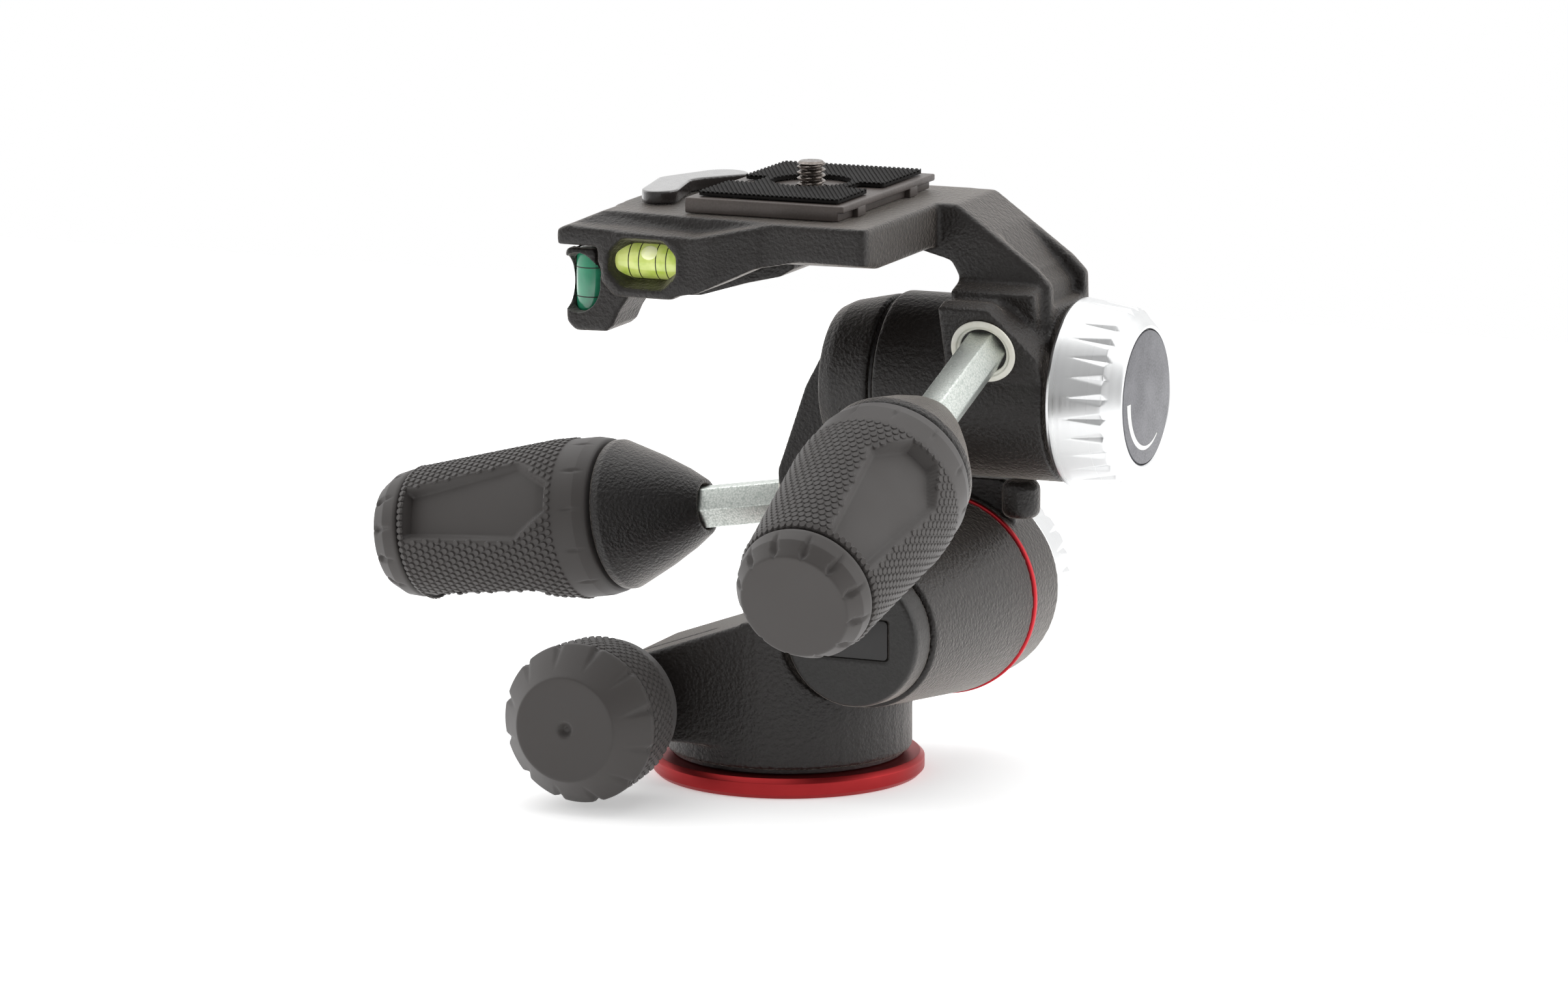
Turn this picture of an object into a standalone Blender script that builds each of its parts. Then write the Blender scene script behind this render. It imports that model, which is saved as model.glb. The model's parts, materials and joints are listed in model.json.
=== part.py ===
"""Three way pan tilt head, built as separate solids on real joint axes.

Run with: blender --background --python part.py
Metres, +Z up.  The pan axis is vertical.  The lateral tilt axis runs along Y
through the lower barrel, and the front tilt axis along X through the upper one.
"""
import math

import bmesh
import bpy
from mathutils import Matrix, Vector

MM = 0.001

# Fits that many pieces share
GAP = 0.3 * MM
OVERRUN = 2.0 * MM
WELD = 0.005 * MM
FILLET = 0.8 * MM

# Base disc, its bush and the pan bearing
DISC_RADIUS = 30.0 * MM
DISC_THICKNESS = 4.5 * MM
DISC_EDGE = 1.0 * MM
TRIPOD_BORE_RADIUS = 4.7625 * MM
BUSH_WALL = 2.9 * MM
BUSH_LENGTH = 12.4 * MM
SPINDLE_WALL = 3.0 * MM
SPINDLE_HEIGHT = 13.4 * MM
SLIP_RING_THICKNESS = 0.7 * MM
SLIP_RING_INSET = 1.7 * MM
RETAINER_WIDTH = 3.0 * MM
RETAINER_THICKNESS = 3.0 * MM
LEDGE_THICKNESS = 3.2 * MM

# Pan housing with its clamp ear
HOUSING_RADIUS = 27.3 * MM
HOUSING_TOP = 17.6 * MM
EAR_X = -26.8 * MM
EAR_Z = 18.9 * MM
EAR_RADIUS = 8.6 * MM
EAR_FRONT = -HOUSING_RADIUS
EAR_BACK = 8.0 * MM
EAR_RISE_X = 1.5 * MM
EAR_RISE_Z = 38.2 * MM
EAR_SLOT_DEPTH = 11.8 * MM
EAR_SLOT_WIDTH = 1.4 * MM
SCOOP_FLOOR = 10.4 * MM

# Lower barrel along Y, fixed to the pan housing
LOWER_X = 25.8 * MM
LOWER_Z = 36.8 * MM
CAP_FRONT = EAR_FRONT + GAP
CAP_LENGTH = 7.5 * MM
BARREL_FRONT = CAP_FRONT + CAP_LENGTH
BARREL_FRONT_RADIUS = 16.8 * MM
BARREL_BACK = 25.0 * MM
BARREL_BACK_RADIUS = 22.35 * MM
SHAFT_RADIUS = 7.7 * MM
CAP_RADIUS = 15.9 * MM
CAP_BEVEL = 1.1 * MM
CAP_PLUG_RADIUS = 10.0 * MM
CAP_PLUG_LENGTH = 4.0 * MM
LABEL_WIDTH = 17.0 * MM
LABEL_HEIGHT = 8.6 * MM
LABEL_THICKNESS = 0.8 * MM
INDEX_RADIUS = 22.65 * MM
INDEX_THICKNESS = 1.3 * MM

# Lower clamp collar, part of the tilt bracket
COLLAR_RADIUS = 22.0 * MM
COLLAR_BACK = 41.4 * MM
LOWER_DRUM_RADIUS = 15.0 * MM

# Upper barrel along X
UPPER_COLLAR_RADIUS = 20.0 * MM
UPPER_COLLAR_UNDERSIDE = 63.0 * MM
UPPER_Y = 32.0 * MM
UPPER_Z = UPPER_COLLAR_UNDERSIDE + UPPER_COLLAR_RADIUS
UPPER_HOUSING_LEFT = 0.0 * MM
UPPER_HOUSING_RADIUS = 19.2 * MM
UPPER_HOUSING_END_RADIUS = 17.2 * MM
UPPER_HOUSING_CHAMFER = 3.2 * MM
UPPER_SEAM = 12.9 * MM
UPPER_COLLAR_RIGHT = 54.4 * MM
UPPER_DRUM_RADIUS = 12.8 * MM
UPPER_WALL = 2.0 * MM

# Friction knobs, alike on both axes
KNOB_RADIUS = 21.0 * MM
KNOB_LENGTH = 16.0 * MM
KNOB_FACE_RADIUS = 15.9 * MM
KNOB_SHOULDER_RADIUS = 19.4 * MM
KNOB_SHOULDER = 3.6 * MM
KNOB_CAVITY_RADIUS = 12.6 * MM
KNOB_CAVITY_DEPTH = 4.6 * MM
KNOB_STANDOFF = 1.2 * MM
KNOB_DISC_RADIUS = 14.7 * MM
KNOB_DISC_THICKNESS = 0.9 * MM
STUD_RADIUS = 5.0 * MM
STUD_ENGAGEMENT = 10.0 * MM
WASHER_THICKNESS = 0.6 * MM
SPRING_WIDTH = 3.4 * MM

# Levers: hexagon rod, bushing, clamp stud and grip
ROD_FLATS = 9.0 * MM
BUSHING_RADIUS = 6.9 * MM
BUSHING_LENGTH = 4.4 * MM
BUSHING_PROUD = 0.7 * MM
BUSHING_BORE_RADIUS = 5.6 * MM
CLAMP_STUD_RADIUS = 2.5 * MM
NUT_FLATS = 8.0 * MM
NUT_THICKNESS = 3.6 * MM
GRIP_LENGTH = 79.0 * MM
GRIP_NOSE_RADIUS = 6.3 * MM
GRIP_CONE_LENGTH = 19.5 * MM
GRIP_CONE_RADIUS = 17.0 * MM
GRIP_RADIUS = 18.1 * MM
GRIP_BAND_START = 22.0 * MM
GRIP_BAND_END = 36.0 * MM
GRIP_CAP_LENGTH = 7.5 * MM
GRIP_SEAM = GRIP_LENGTH - GRIP_CAP_LENGTH
GRIP_SEAM_RADIUS = 14.9 * MM
GRIP_END_RADIUS = 11.8 * MM
GRIP_CAP_BEVEL = 3.4 * MM
GRIP_CORE_RADIUS = 10.0 * MM
GRIP_SLIDE_CLEARANCE = 0.35 * MM
GRIP_BORE_RADIUS = 7.0 * MM
ROD_STOP_THICKNESS = 2.4 * MM
ROD_STOP_SCREW_RADIUS = 2.6 * MM
ROD_REACH = GRIP_SEAM - 3 * ROD_STOP_THICKNESS - GAP

# Side lever, on the lower clamp, pointing to -X and down
SIDE_Y = 38.0 * MM
SIDE_FACE_X = -14.6 * MM
SIDE_FACE_Z = 52.9 * MM
SIDE_SLOPE = math.atan2(0.160, 1.0)
SIDE_EXPOSED = 21.5 * MM
SIDE_LUG_HALF = 7.4 * MM
SIDE_SLOT_X = 16.6 * MM

# Front lever, on the upper clamp, pointing to -Y and down
FRONT_X = 41.8 * MM
FRONT_LUG_PROUD = 1.8 * MM
FRONT_RISE = 11.8 * MM
FRONT_FACE_Y = UPPER_Y - UPPER_COLLAR_RADIUS - FRONT_LUG_PROUD
FRONT_FACE_Z = UPPER_Z + FRONT_RISE
FRONT_SLOPE = math.atan2(0.343, 1.0)
FRONT_EXPOSED = 33.5 * MM
FRONT_LUG_HALF = 9.8 * MM
FRONT_LUG_DEPTH = 4.9 * MM
FRONT_SLOT = 3.0 * MM

# Tilt bracket web
WEB_FRONT = 30.6 * MM
WEB_BACK = 45.4 * MM
WEB_TOP = 14.2 * MM
WEB_STEP = 3.0 * MM
PINCH_EAR_REACH = 15.5 * MM

# Platform and arch
PLATFORM_RISE = 22.0 * MM
PLATFORM_TOP = UPPER_Z + UPPER_COLLAR_RADIUS + PLATFORM_RISE
PLATFORM_THICKNESS = 9.6 * MM
PLATFORM_RIGHT = 27.2 * MM
PLATFORM_FRONT = -22.0 * MM
PLATFORM_REAR = 45.0 * MM
PLATFORM_LEFT = -37.6 * MM
ARCH_FRONT = 19.6 * MM
ARCH_BACK = 44.4 * MM
ARCH_RIGHT = 54.2 * MM
ARCH_SHOULDER = 4.2 * MM
ARCH_RIM = 3.6 * MM

# Camera plate, pad and screw
PLATE_X = 0.7 * MM
PLATE_Y = 11.3 * MM
PLATE_PROUD = 3.6 * MM
PLATE_TOP = PLATFORM_TOP + PLATE_PROUD
PLATE_WIDTH = 37.2 * MM
PLATE_LENGTH = 53.0 * MM
PLATE_FLANGE = 3.4 * MM
PLATE_FOOT_TOP_HALF = 12.6 * MM
PLATE_FOOT_BOTTOM_HALF = 15.0 * MM
PLATE_FOOT_DEPTH = 4.6 * MM
PLATE_FOOT_LENGTH = 46.0 * MM
PAD_MARGIN = 2.2 * MM
PAD_THICKNESS = 1.0 * MM
PAD_HOLE_RADIUS = 10.4 * MM
CAMERA_SCREW_RADIUS = 3.175 * MM
CAMERA_SCREW_PROUD = 5.5 * MM
SCREW_HEAD_RADIUS = 8.2 * MM
SCREW_HEAD_THICKNESS = 2.4 * MM

# Pan lock knob
PAN_KNOB_PROUD = 32.7 * MM
PAN_KNOB_FACE = EAR_FRONT - PAN_KNOB_PROUD
PAN_KNOB_LENGTH = 26.0 * MM
PAN_KNOB_RADIUS = 17.5 * MM
PAN_KNOB_FACE_RADIUS = 11.4 * MM
PAN_KNOB_BEVEL = 7.6 * MM
PAN_HUB_RADIUS = 8.0 * MM
PAN_SCREW_RADIUS = 3.0 * MM
PAN_DIMPLE_RADIUS = 1.8 * MM
PAN_SKIN = 5.0 * MM

# Release lever, its pivot and the mechanism cover
LEVER_PIVOT_X = -25.6 * MM
LEVER_PIVOT_Y = 24.0 * MM
LEVER_THICKNESS = 2.9 * MM
LEVER_HUB_RADIUS = 5.4 * MM
LEVER_HUB_DEPTH = 4.6 * MM
LEVER_HEAD_DEGREES = 150
LEVER_REACH_X = -29.8 * MM
LEVER_REACH_Y = -8.0 * MM
PIVOT_RADIUS = 2.0 * MM
LEVER_SPRING_THICKNESS = 1.2 * MM
COVER_FRONT = 2.0 * MM
COVER_BACK = 22.0 * MM
COVER_DROP = 11.4 * MM
COVER_LENGTH = 33.3 * MM

# Spirit levels
BLOCK_FRONT = -24.0 * MM
BLOCK_BACK = -9.0 * MM
BULGE_FRONT = -24.6 * MM
VIAL_RADIUS = 4.6 * MM
VIAL_WALL = 1.2 * MM
LEVEL_VIAL_X = -23.6 * MM
LEVEL_VIAL_Y = -18.6 * MM
LEVEL_VIAL_DROP = 9.8 * MM
LEVEL_VIAL_Z = PLATFORM_TOP - LEVEL_VIAL_DROP
LEVEL_VIAL_LENGTH = 17.2 * MM
PLUMB_VIAL_X = -39.2 * MM
PLUMB_VIAL_Y = -18.2 * MM
PLUMB_VIAL_DROP = 15.4 * MM
PLUMB_VIAL_Z = PLATFORM_TOP - PLUMB_VIAL_DROP
PLUMB_VIAL_LENGTH = 15.0 * MM
PLUMB_VIAL_RADIUS = 3.7 * MM

FINE_COUNT = 44
ROUND_COUNT = 28
SMALL_COUNT = 16


def clear_scene():
    for thing in list(bpy.data.objects):
        bpy.data.objects.remove(thing, do_unlink=True)


def new_collection(name):
    group = bpy.data.collections.new(name)
    bpy.context.scene.collection.children.link(group)
    return group


clear_scene()
PARTS = new_collection("three_way_pan_tilt_head")
CUTTERS = new_collection("cutters")


def material(name, colour, roughness, metallic):
    """A plain Principled material, made once for each name."""
    found = bpy.data.materials.get(name)
    if found:
        return found
    made = bpy.data.materials.new(name)
    made.use_nodes = True
    shader = made.node_tree.nodes["Principled BSDF"]
    shader.inputs["Base Color"].default_value = (*colour, 1.0)
    shader.inputs["Roughness"].default_value = roughness
    shader.inputs["Metallic"].default_value = metallic
    made.diffuse_color = (*colour, 1.0)
    return made


def black_paint():
    return material("black powder coat", (0.030, 0.028, 0.027), 0.55, 0.0)


def black_plastic():
    return material("black moulded plastic", (0.040, 0.037, 0.036), 0.5, 0.0)


def rubber():
    return material("dark rubber", (0.050, 0.046, 0.044), 0.8, 0.0)


def red_anodised():
    return material("red anodised aluminium", (0.35, 0.02, 0.03), 0.35, 0.8)


def satin_aluminium():
    return material("satin aluminium", (0.75, 0.76, 0.78), 0.3, 1.0)


def zinc_steel():
    return material("zinc plated steel", (0.62, 0.65, 0.64), 0.35, 1.0)


def white_nylon():
    return material("white nylon", (0.82, 0.82, 0.76), 0.5, 0.0)


def grey_label():
    return material("grey printed disc", (0.16, 0.16, 0.17), 0.6, 0.0)


def brown_plate():
    return material("brown grey painted plate", (0.11, 0.095, 0.09), 0.45, 0.3)


def spring_steel():
    return material("spring steel", (0.45, 0.46, 0.48), 0.35, 1.0)


def level_liquid():
    return material("green level vial", (0.45, 0.70, 0.12), 0.1, 0.0)


def along_x(x, y, z):
    """A placement whose local Z points along world +X."""
    return Matrix.Translation((x, y, z)) @ Matrix.Rotation(math.pi / 2, 4, "Y")


def along_y(x, y, z):
    """A placement whose local Z points along world +Y."""
    return Matrix.Translation((x, y, z)) @ Matrix.Rotation(-math.pi / 2, 4, "X")


def against_y(x, y, z):
    """A placement whose local Z points along world -Y."""
    return Matrix.Translation((x, y, z)) @ Matrix.Rotation(math.pi / 2, 4, "X")


def upright(x, y, z):
    return Matrix.Translation((x, y, z))


def framed(origin, out, up):
    """A placement with local Z along out and local Y along up."""
    out = Vector(out).normalized()
    up = Vector(up).normalized()
    side = up.cross(out)
    turn = Matrix((side, up, out)).transposed().to_4x4()
    return Matrix.Translation(origin) @ turn


BODIES = {}


def body(name, placement, parent):
    """An empty on a joint axis, which carries one moving body."""
    empty = bpy.data.objects.new(name + "_axis", None)
    empty.empty_display_size = DISC_RADIUS
    PARTS.objects.link(empty)
    if parent:
        carrier, carrier_place = BODIES[parent]
        empty.parent = carrier
        empty.matrix_parent_inverse = carrier_place.inverted()
    empty.matrix_basis = placement
    BODIES[name] = (empty, placement)


def carry(thing, name, placement, finish=None):
    """Puts an object at its placement and under its body's empty."""
    empty, empty_place = BODIES[name]
    thing.parent = empty
    thing.matrix_parent_inverse = empty_place.inverted()
    thing.matrix_basis = placement
    if finish:
        thing.data.materials.clear()
        thing.data.materials.append(finish)
    return thing


def as_piece(thing):
    PARTS.objects.link(thing)
    return thing


def as_tool(thing, name, placement):
    """Keeps a cutter, or a shape that is joined on, out of the parts."""
    CUTTERS.objects.link(thing)
    thing.hide_render = True
    thing.display_type = "WIRE"
    return carry(thing, name, placement)


def boolean(thing, tool, operation):
    step = thing.modifiers.new(operation.lower() + " " + tool.name, "BOOLEAN")
    step.operation = operation
    step.solver = "EXACT"
    step.object = tool


def cut(thing, *tools):
    for tool in tools:
        boolean(thing, tool, "DIFFERENCE")


def join(thing, *tools):
    for tool in tools:
        boolean(thing, tool, "UNION")


def weld(thing):
    """Closes the hair cracks that a cut can leave."""
    step = thing.modifiers.new("weld", "WELD")
    step.merge_threshold = WELD


def smooth(mesh, degrees=35):
    mesh.shade_smooth()
    mesh.set_sharp_from_angle(angle=math.radians(degrees))


def turned(name, profile, steps, ring=False):
    """A turned shape.  The profile (radius, height) runs down its outer side."""
    mesh = bpy.data.meshes.new(name)
    points = [(radius, 0.0, height) for radius, height in profile]
    edges = [(i, i + 1) for i in range(len(points) - 1)]
    if ring:
        edges.append((len(points) - 1, 0))
    mesh.from_pydata(points, edges, [])
    thing = bpy.data.objects.new(name, mesh)
    screw = thing.modifiers.new("turn", "SCREW")
    screw.axis = "Z"
    screw.steps = steps
    screw.render_steps = steps
    screw.use_merge_vertices = True
    screw.merge_threshold = WELD
    graph = bpy.context.evaluated_depsgraph_get()
    bpy.context.scene.collection.objects.link(thing)
    graph.update()
    solid = bpy.data.meshes.new_from_object(thing.evaluated_get(graph))
    bpy.data.objects.remove(thing, do_unlink=True)
    smooth(solid)
    return bpy.data.objects.new(name, solid)


def ring(name, inner, outer, bottom, top, steps, edge=0.0):
    """A turned ring with chamfered outer edges."""
    profile = [(inner, top), (outer - edge, top)]
    if edge:
        profile += [(outer, top - edge), (outer, bottom + edge)]
    profile += [(outer - edge if edge else outer, bottom), (inner, bottom)]
    return turned(name, profile, steps, ring=True)


def rod(name, radius, bottom, top, steps):
    """A plain round bar along local Z."""
    mesh = bpy.data.meshes.new(name)
    grid = bmesh.new()
    bmesh.ops.create_cone(grid, cap_ends=True, segments=steps, radius1=radius,
                          radius2=radius, depth=top - bottom)
    bmesh.ops.translate(grid, verts=grid.verts, vec=(0, 0, (top + bottom) / 2))
    grid.to_mesh(mesh)
    grid.free()
    if steps > 6:
        smooth(mesh)
    return bpy.data.objects.new(name, mesh)


def box(name, low, high):
    """A box between two opposite corners."""
    low = Vector(low)
    high = Vector(high)
    mesh = bpy.data.meshes.new(name)
    grid = bmesh.new()
    bmesh.ops.create_cube(grid, size=1.0)
    bmesh.ops.scale(grid, verts=grid.verts, vec=high - low)
    bmesh.ops.translate(grid, verts=grid.verts, vec=(high + low) / 2)
    grid.to_mesh(mesh)
    grid.free()
    return bpy.data.objects.new(name, mesh)


def arc(centre, radius, start, stop, count):
    """Points on an arc between two angles in degrees."""
    points = []
    for i in range(count + 1):
        angle = math.radians(start + (stop - start) * i / count)
        points.append((centre[0] + radius * math.cos(angle),
                       centre[1] + radius * math.sin(angle)))
    return points


def rounded(points, radius, count=3):
    """The outline with each corner rounded, as far as its sides allow."""
    made = []
    for i, here in enumerate(points):
        corner = Vector(here)
        before = Vector(points[i - 1]) - corner
        after = Vector(points[(i + 1) % len(points)]) - corner
        half = before.angle(after) / 2
        if half > math.radians(82):
            made.append(tuple(corner))
            continue
        reach = min(radius / math.tan(half), 0.45 * min(before.length, after.length))
        size = reach * math.tan(half)
        centre = corner + (before.normalized() + after.normalized()).normalized() * (
            size / math.sin(half))
        first = corner + before.normalized() * reach - centre
        last = corner + after.normalized() * reach - centre
        turn = first.angle_signed(last)
        for k in range(count + 1):
            angle = math.atan2(first.y, first.x) - turn * k / count
            made.append((centre.x + size * math.cos(angle),
                         centre.y + size * math.sin(angle)))
    return made


def slab(name, outline, depth):
    """A flat outline in local XY, extruded half its depth each way along Z."""
    curve = bpy.data.curves.new(name, "CURVE")
    curve.dimensions = "2D"
    curve.fill_mode = "BOTH"
    curve.extrude = depth / 2
    line = curve.splines.new("POLY")
    line.points.add(len(outline) - 1)
    for point, (x, y) in zip(line.points, outline):
        point.co = (x, y, 0.0, 1.0)
    line.use_cyclic_u = True
    guide = bpy.data.objects.new(name + " outline", curve)
    bpy.context.scene.collection.objects.link(guide)
    graph = bpy.context.evaluated_depsgraph_get()
    mesh = bpy.data.meshes.new_from_object(guide.evaluated_get(graph))
    bpy.data.objects.remove(guide, do_unlink=True)
    grid = bmesh.new()
    grid.from_mesh(mesh)
    bmesh.ops.remove_doubles(grid, verts=grid.verts, dist=WELD)
    bmesh.ops.dissolve_limit(grid, angle_limit=math.radians(1), verts=grid.verts,
                             edges=grid.edges)
    bmesh.ops.recalc_face_normals(grid, faces=grid.faces)
    grid.to_mesh(mesh)
    grid.free()
    mesh.name = name
    return bpy.data.objects.new(name, mesh)


def facing_y(front, back):
    """Places a slab drawn in XZ between two values of Y."""
    return Matrix.Translation((0, (front + back) / 2, 0)) @ Matrix.Rotation(
        math.pi / 2, 4, "X")


def flat(low, high):
    """Places a slab drawn in XY between two heights."""
    return Matrix.Translation((0, 0, (low + high) / 2))


# Axes of the moving bodies
body("base", Matrix.Identity(4), None)
body("pan_body", Matrix.Identity(4), "base")
body("pan_knob", against_y(EAR_X, PAN_KNOB_FACE + PAN_KNOB_LENGTH, EAR_Z), "pan_body")
body("lateral_knob", along_y(LOWER_X, COLLAR_BACK + KNOB_STANDOFF, LOWER_Z), "pan_body")
body("tilt_body", along_y(LOWER_X, 0, LOWER_Z), "pan_body")
body("front_knob", along_x(UPPER_COLLAR_RIGHT + KNOB_STANDOFF, UPPER_Y, UPPER_Z),
     "tilt_body")
body("platform_body", along_x(0, UPPER_Y, UPPER_Z), "tilt_body")

SIDE_OUT = Vector((-math.cos(SIDE_SLOPE), 0, -math.sin(SIDE_SLOPE)))
SIDE_UP = Vector((-math.sin(SIDE_SLOPE), 0, math.cos(SIDE_SLOPE)))
SIDE_FACE = Vector((SIDE_FACE_X, SIDE_Y, SIDE_FACE_Z))
SIDE_FRAME = framed(SIDE_FACE, SIDE_OUT, SIDE_UP)
FRONT_OUT = Vector((0, -math.cos(FRONT_SLOPE), -math.sin(FRONT_SLOPE)))
FRONT_UP = Vector((0, -math.sin(FRONT_SLOPE), math.cos(FRONT_SLOPE)))
FRONT_FACE = Vector((FRONT_X, FRONT_FACE_Y, FRONT_FACE_Z))
FRONT_FRAME = framed(FRONT_FACE, FRONT_OUT, FRONT_UP)
body("side_rod", SIDE_FRAME, "tilt_body")
body("side_grip", SIDE_FRAME, "side_rod")
body("front_rod", FRONT_FRAME, "platform_body")
body("front_grip", FRONT_FRAME, "front_rod")
body("lever", upright(LEVER_PIVOT_X, LEVER_PIVOT_Y, PLATFORM_TOP), "platform_body")
body("plate", upright(PLATE_X, PLATE_Y, PLATFORM_TOP), "platform_body")
body("plate_screw", upright(PLATE_X, PLATE_Y, PLATE_TOP), "plate")
LEVEL = Matrix.Identity(4)

# Places worked out from the sizes above
BUSH_RADIUS = TRIPOD_BORE_RADIUS + BUSH_WALL
SPINDLE_RADIUS = BUSH_RADIUS + GAP + SPINDLE_WALL
EAR_SLOT_Y = EAR_FRONT + EAR_SLOT_DEPTH
HOUSING_BOTTOM = DISC_THICKNESS + SLIP_RING_THICKNESS + 2 * GAP
LEDGE_TOP = HOUSING_BOTTOM + LEDGE_THICKNESS
RETAINER_RADIUS = SPINDLE_RADIUS + GAP + RETAINER_WIDTH
POCKET_TOP = SPINDLE_HEIGHT + 2 * GAP


def make_base():
    """The red disc with its spindle, the tripod bush and the pan bearing."""
    disc = turned("base_disc", [
        (BUSH_RADIUS + GAP, SPINDLE_HEIGHT),
        (SPINDLE_RADIUS, SPINDLE_HEIGHT),
        (SPINDLE_RADIUS, DISC_THICKNESS),
        (DISC_RADIUS - DISC_EDGE, DISC_THICKNESS),
        (DISC_RADIUS, DISC_THICKNESS - DISC_EDGE),
        (DISC_RADIUS, DISC_EDGE),
        (DISC_RADIUS - DISC_EDGE, 0),
        (BUSH_RADIUS + GAP, 0)], FINE_COUNT, ring=True)
    carry(as_piece(disc), "base", LEVEL, red_anodised())
    bush = ring("tripod_thread_bush", TRIPOD_BORE_RADIUS, BUSH_RADIUS, GAP,
                GAP + BUSH_LENGTH, ROUND_COUNT)
    carry(as_piece(bush), "base", LEVEL, zinc_steel())
    slip = ring("pan_slip_ring", SPINDLE_RADIUS + GAP, HOUSING_RADIUS - SLIP_RING_INSET,
                DISC_THICKNESS + GAP, DISC_THICKNESS + GAP + SLIP_RING_THICKNESS, FINE_COUNT)
    carry(as_piece(slip), "base", LEVEL, white_nylon())
    retainer = ring("pan_retaining_ring", SPINDLE_RADIUS + GAP, RETAINER_RADIUS,
                    LEDGE_TOP + GAP, LEDGE_TOP + GAP + RETAINER_THICKNESS, ROUND_COUNT)
    carry(as_piece(retainer), "base", LEVEL, zinc_steel())


def ear_outline():
    """The clamp ear from the front: a round lug that rises to the barrel."""
    rise = math.atan2(EAR_RISE_Z - EAR_Z - EAR_RADIUS, EAR_RISE_X - EAR_X)
    top = 90 + math.degrees(rise)
    lug = arc((EAR_X, EAR_Z), EAR_RADIUS, top, 270, 10)
    base = EAR_Z - EAR_RADIUS
    return lug + [(0, base), (EAR_RISE_X, base), (EAR_RISE_X, EAR_RISE_Z)]


def make_pan_housing():
    """The casting of the pan housing, its clamp ear and the lower barrel."""
    housing = rod("pan_housing", HOUSING_RADIUS, HOUSING_BOTTOM, HOUSING_TOP, FINE_COUNT)
    as_piece(housing)
    carry(housing, "pan_body", LEVEL, black_paint())
    saddle = rod("saddle", HOUSING_RADIUS - WELD, HOUSING_TOP - OVERRUN, EAR_RISE_Z, FINE_COUNT)
    as_tool(saddle, "pan_body", LEVEL)
    limit = box("saddle_limit", (0, EAR_FRONT - OVERRUN, 0),
                (LOWER_X, BARREL_BACK - OVERRUN, EAR_RISE_Z + OVERRUN))
    as_tool(limit, "pan_body", LEVEL)
    boolean(saddle, limit, "INTERSECT")
    ear = slab("ear", ear_outline(), EAR_BACK - EAR_FRONT)
    as_tool(ear, "pan_body", facing_y(EAR_FRONT, EAR_BACK))
    barrel = turned("barrel", [
        (0, BARREL_BACK), (BARREL_BACK_RADIUS, BARREL_BACK),
        (BARREL_FRONT_RADIUS, BARREL_FRONT), (0, BARREL_FRONT)], FINE_COUNT)
    as_tool(barrel, "pan_body", along_y(LOWER_X, 0, LOWER_Z))
    join(housing, saddle, ear, barrel)

    bore = rod("pan_bore", SPINDLE_RADIUS + GAP, 0, LEDGE_TOP + OVERRUN, ROUND_COUNT)
    pocket = rod("pan_pocket", RETAINER_RADIUS + GAP, LEDGE_TOP, POCKET_TOP, ROUND_COUNT)
    for tool in (bore, pocket):
        as_tool(tool, "pan_body", LEVEL)
    shaft = rod("shaft_bore", SHAFT_RADIUS + GAP, BARREL_FRONT + CAP_PLUG_LENGTH,
                BARREL_BACK + OVERRUN, ROUND_COUNT)
    plug = rod("plug_bore", CAP_PLUG_RADIUS + GAP, BARREL_FRONT - OVERRUN,
               BARREL_FRONT + CAP_PLUG_LENGTH + GAP, ROUND_COUNT)
    room = rod("cap_room", BARREL_FRONT_RADIUS + GAP, EAR_FRONT - OVERRUN,
               BARREL_FRONT + WELD, FINE_COUNT)
    for tool in (shaft, plug, room):
        as_tool(tool, "pan_body", along_y(LOWER_X, 0, LOWER_Z))
    slot = box("ear_slot", (EAR_X - 2 * EAR_RADIUS, EAR_SLOT_Y - EAR_SLOT_WIDTH / 2, 0),
               (EAR_X + EAR_RADIUS + NUT_FLATS, EAR_SLOT_Y + EAR_SLOT_WIDTH / 2,
                EAR_RISE_Z + OVERRUN))
    as_tool(slot, "pan_body", LEVEL)
    screw = rod("ear_screw_bore", PAN_SCREW_RADIUS + GAP, EAR_FRONT - OVERRUN,
                EAR_SLOT_Y + EAR_RADIUS + NUT_THICKNESS, SMALL_COUNT)
    nut = rod("ear_nut_pocket", nut_corner() + GAP, EAR_SLOT_Y,
              EAR_SLOT_Y + EAR_SLOT_WIDTH / 2 + NUT_THICKNESS + 2 * GAP, 6)
    for tool in (screw, nut):
        as_tool(tool, "pan_body", along_y(EAR_X, 0, EAR_Z))
    reach = UPPER_Z - LOWER_Z
    scoop = rod("tilt_scoop", UPPER_COLLAR_RADIUS + GAP + WELD, SCOOP_FLOOR,
                EAR_RISE_Z + OVERRUN, FINE_COUNT)
    as_tool(scoop, "pan_body", upright(LOWER_X - reach, UPPER_Y, 0))
    cut(housing, bore, pocket, room, plug, shaft, slot, screw, nut, scoop)
    weld(housing)


def nut_corner():
    """Half the width of the clamp nuts across their corners."""
    return NUT_FLATS / 2 / math.cos(math.radians(30))


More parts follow.
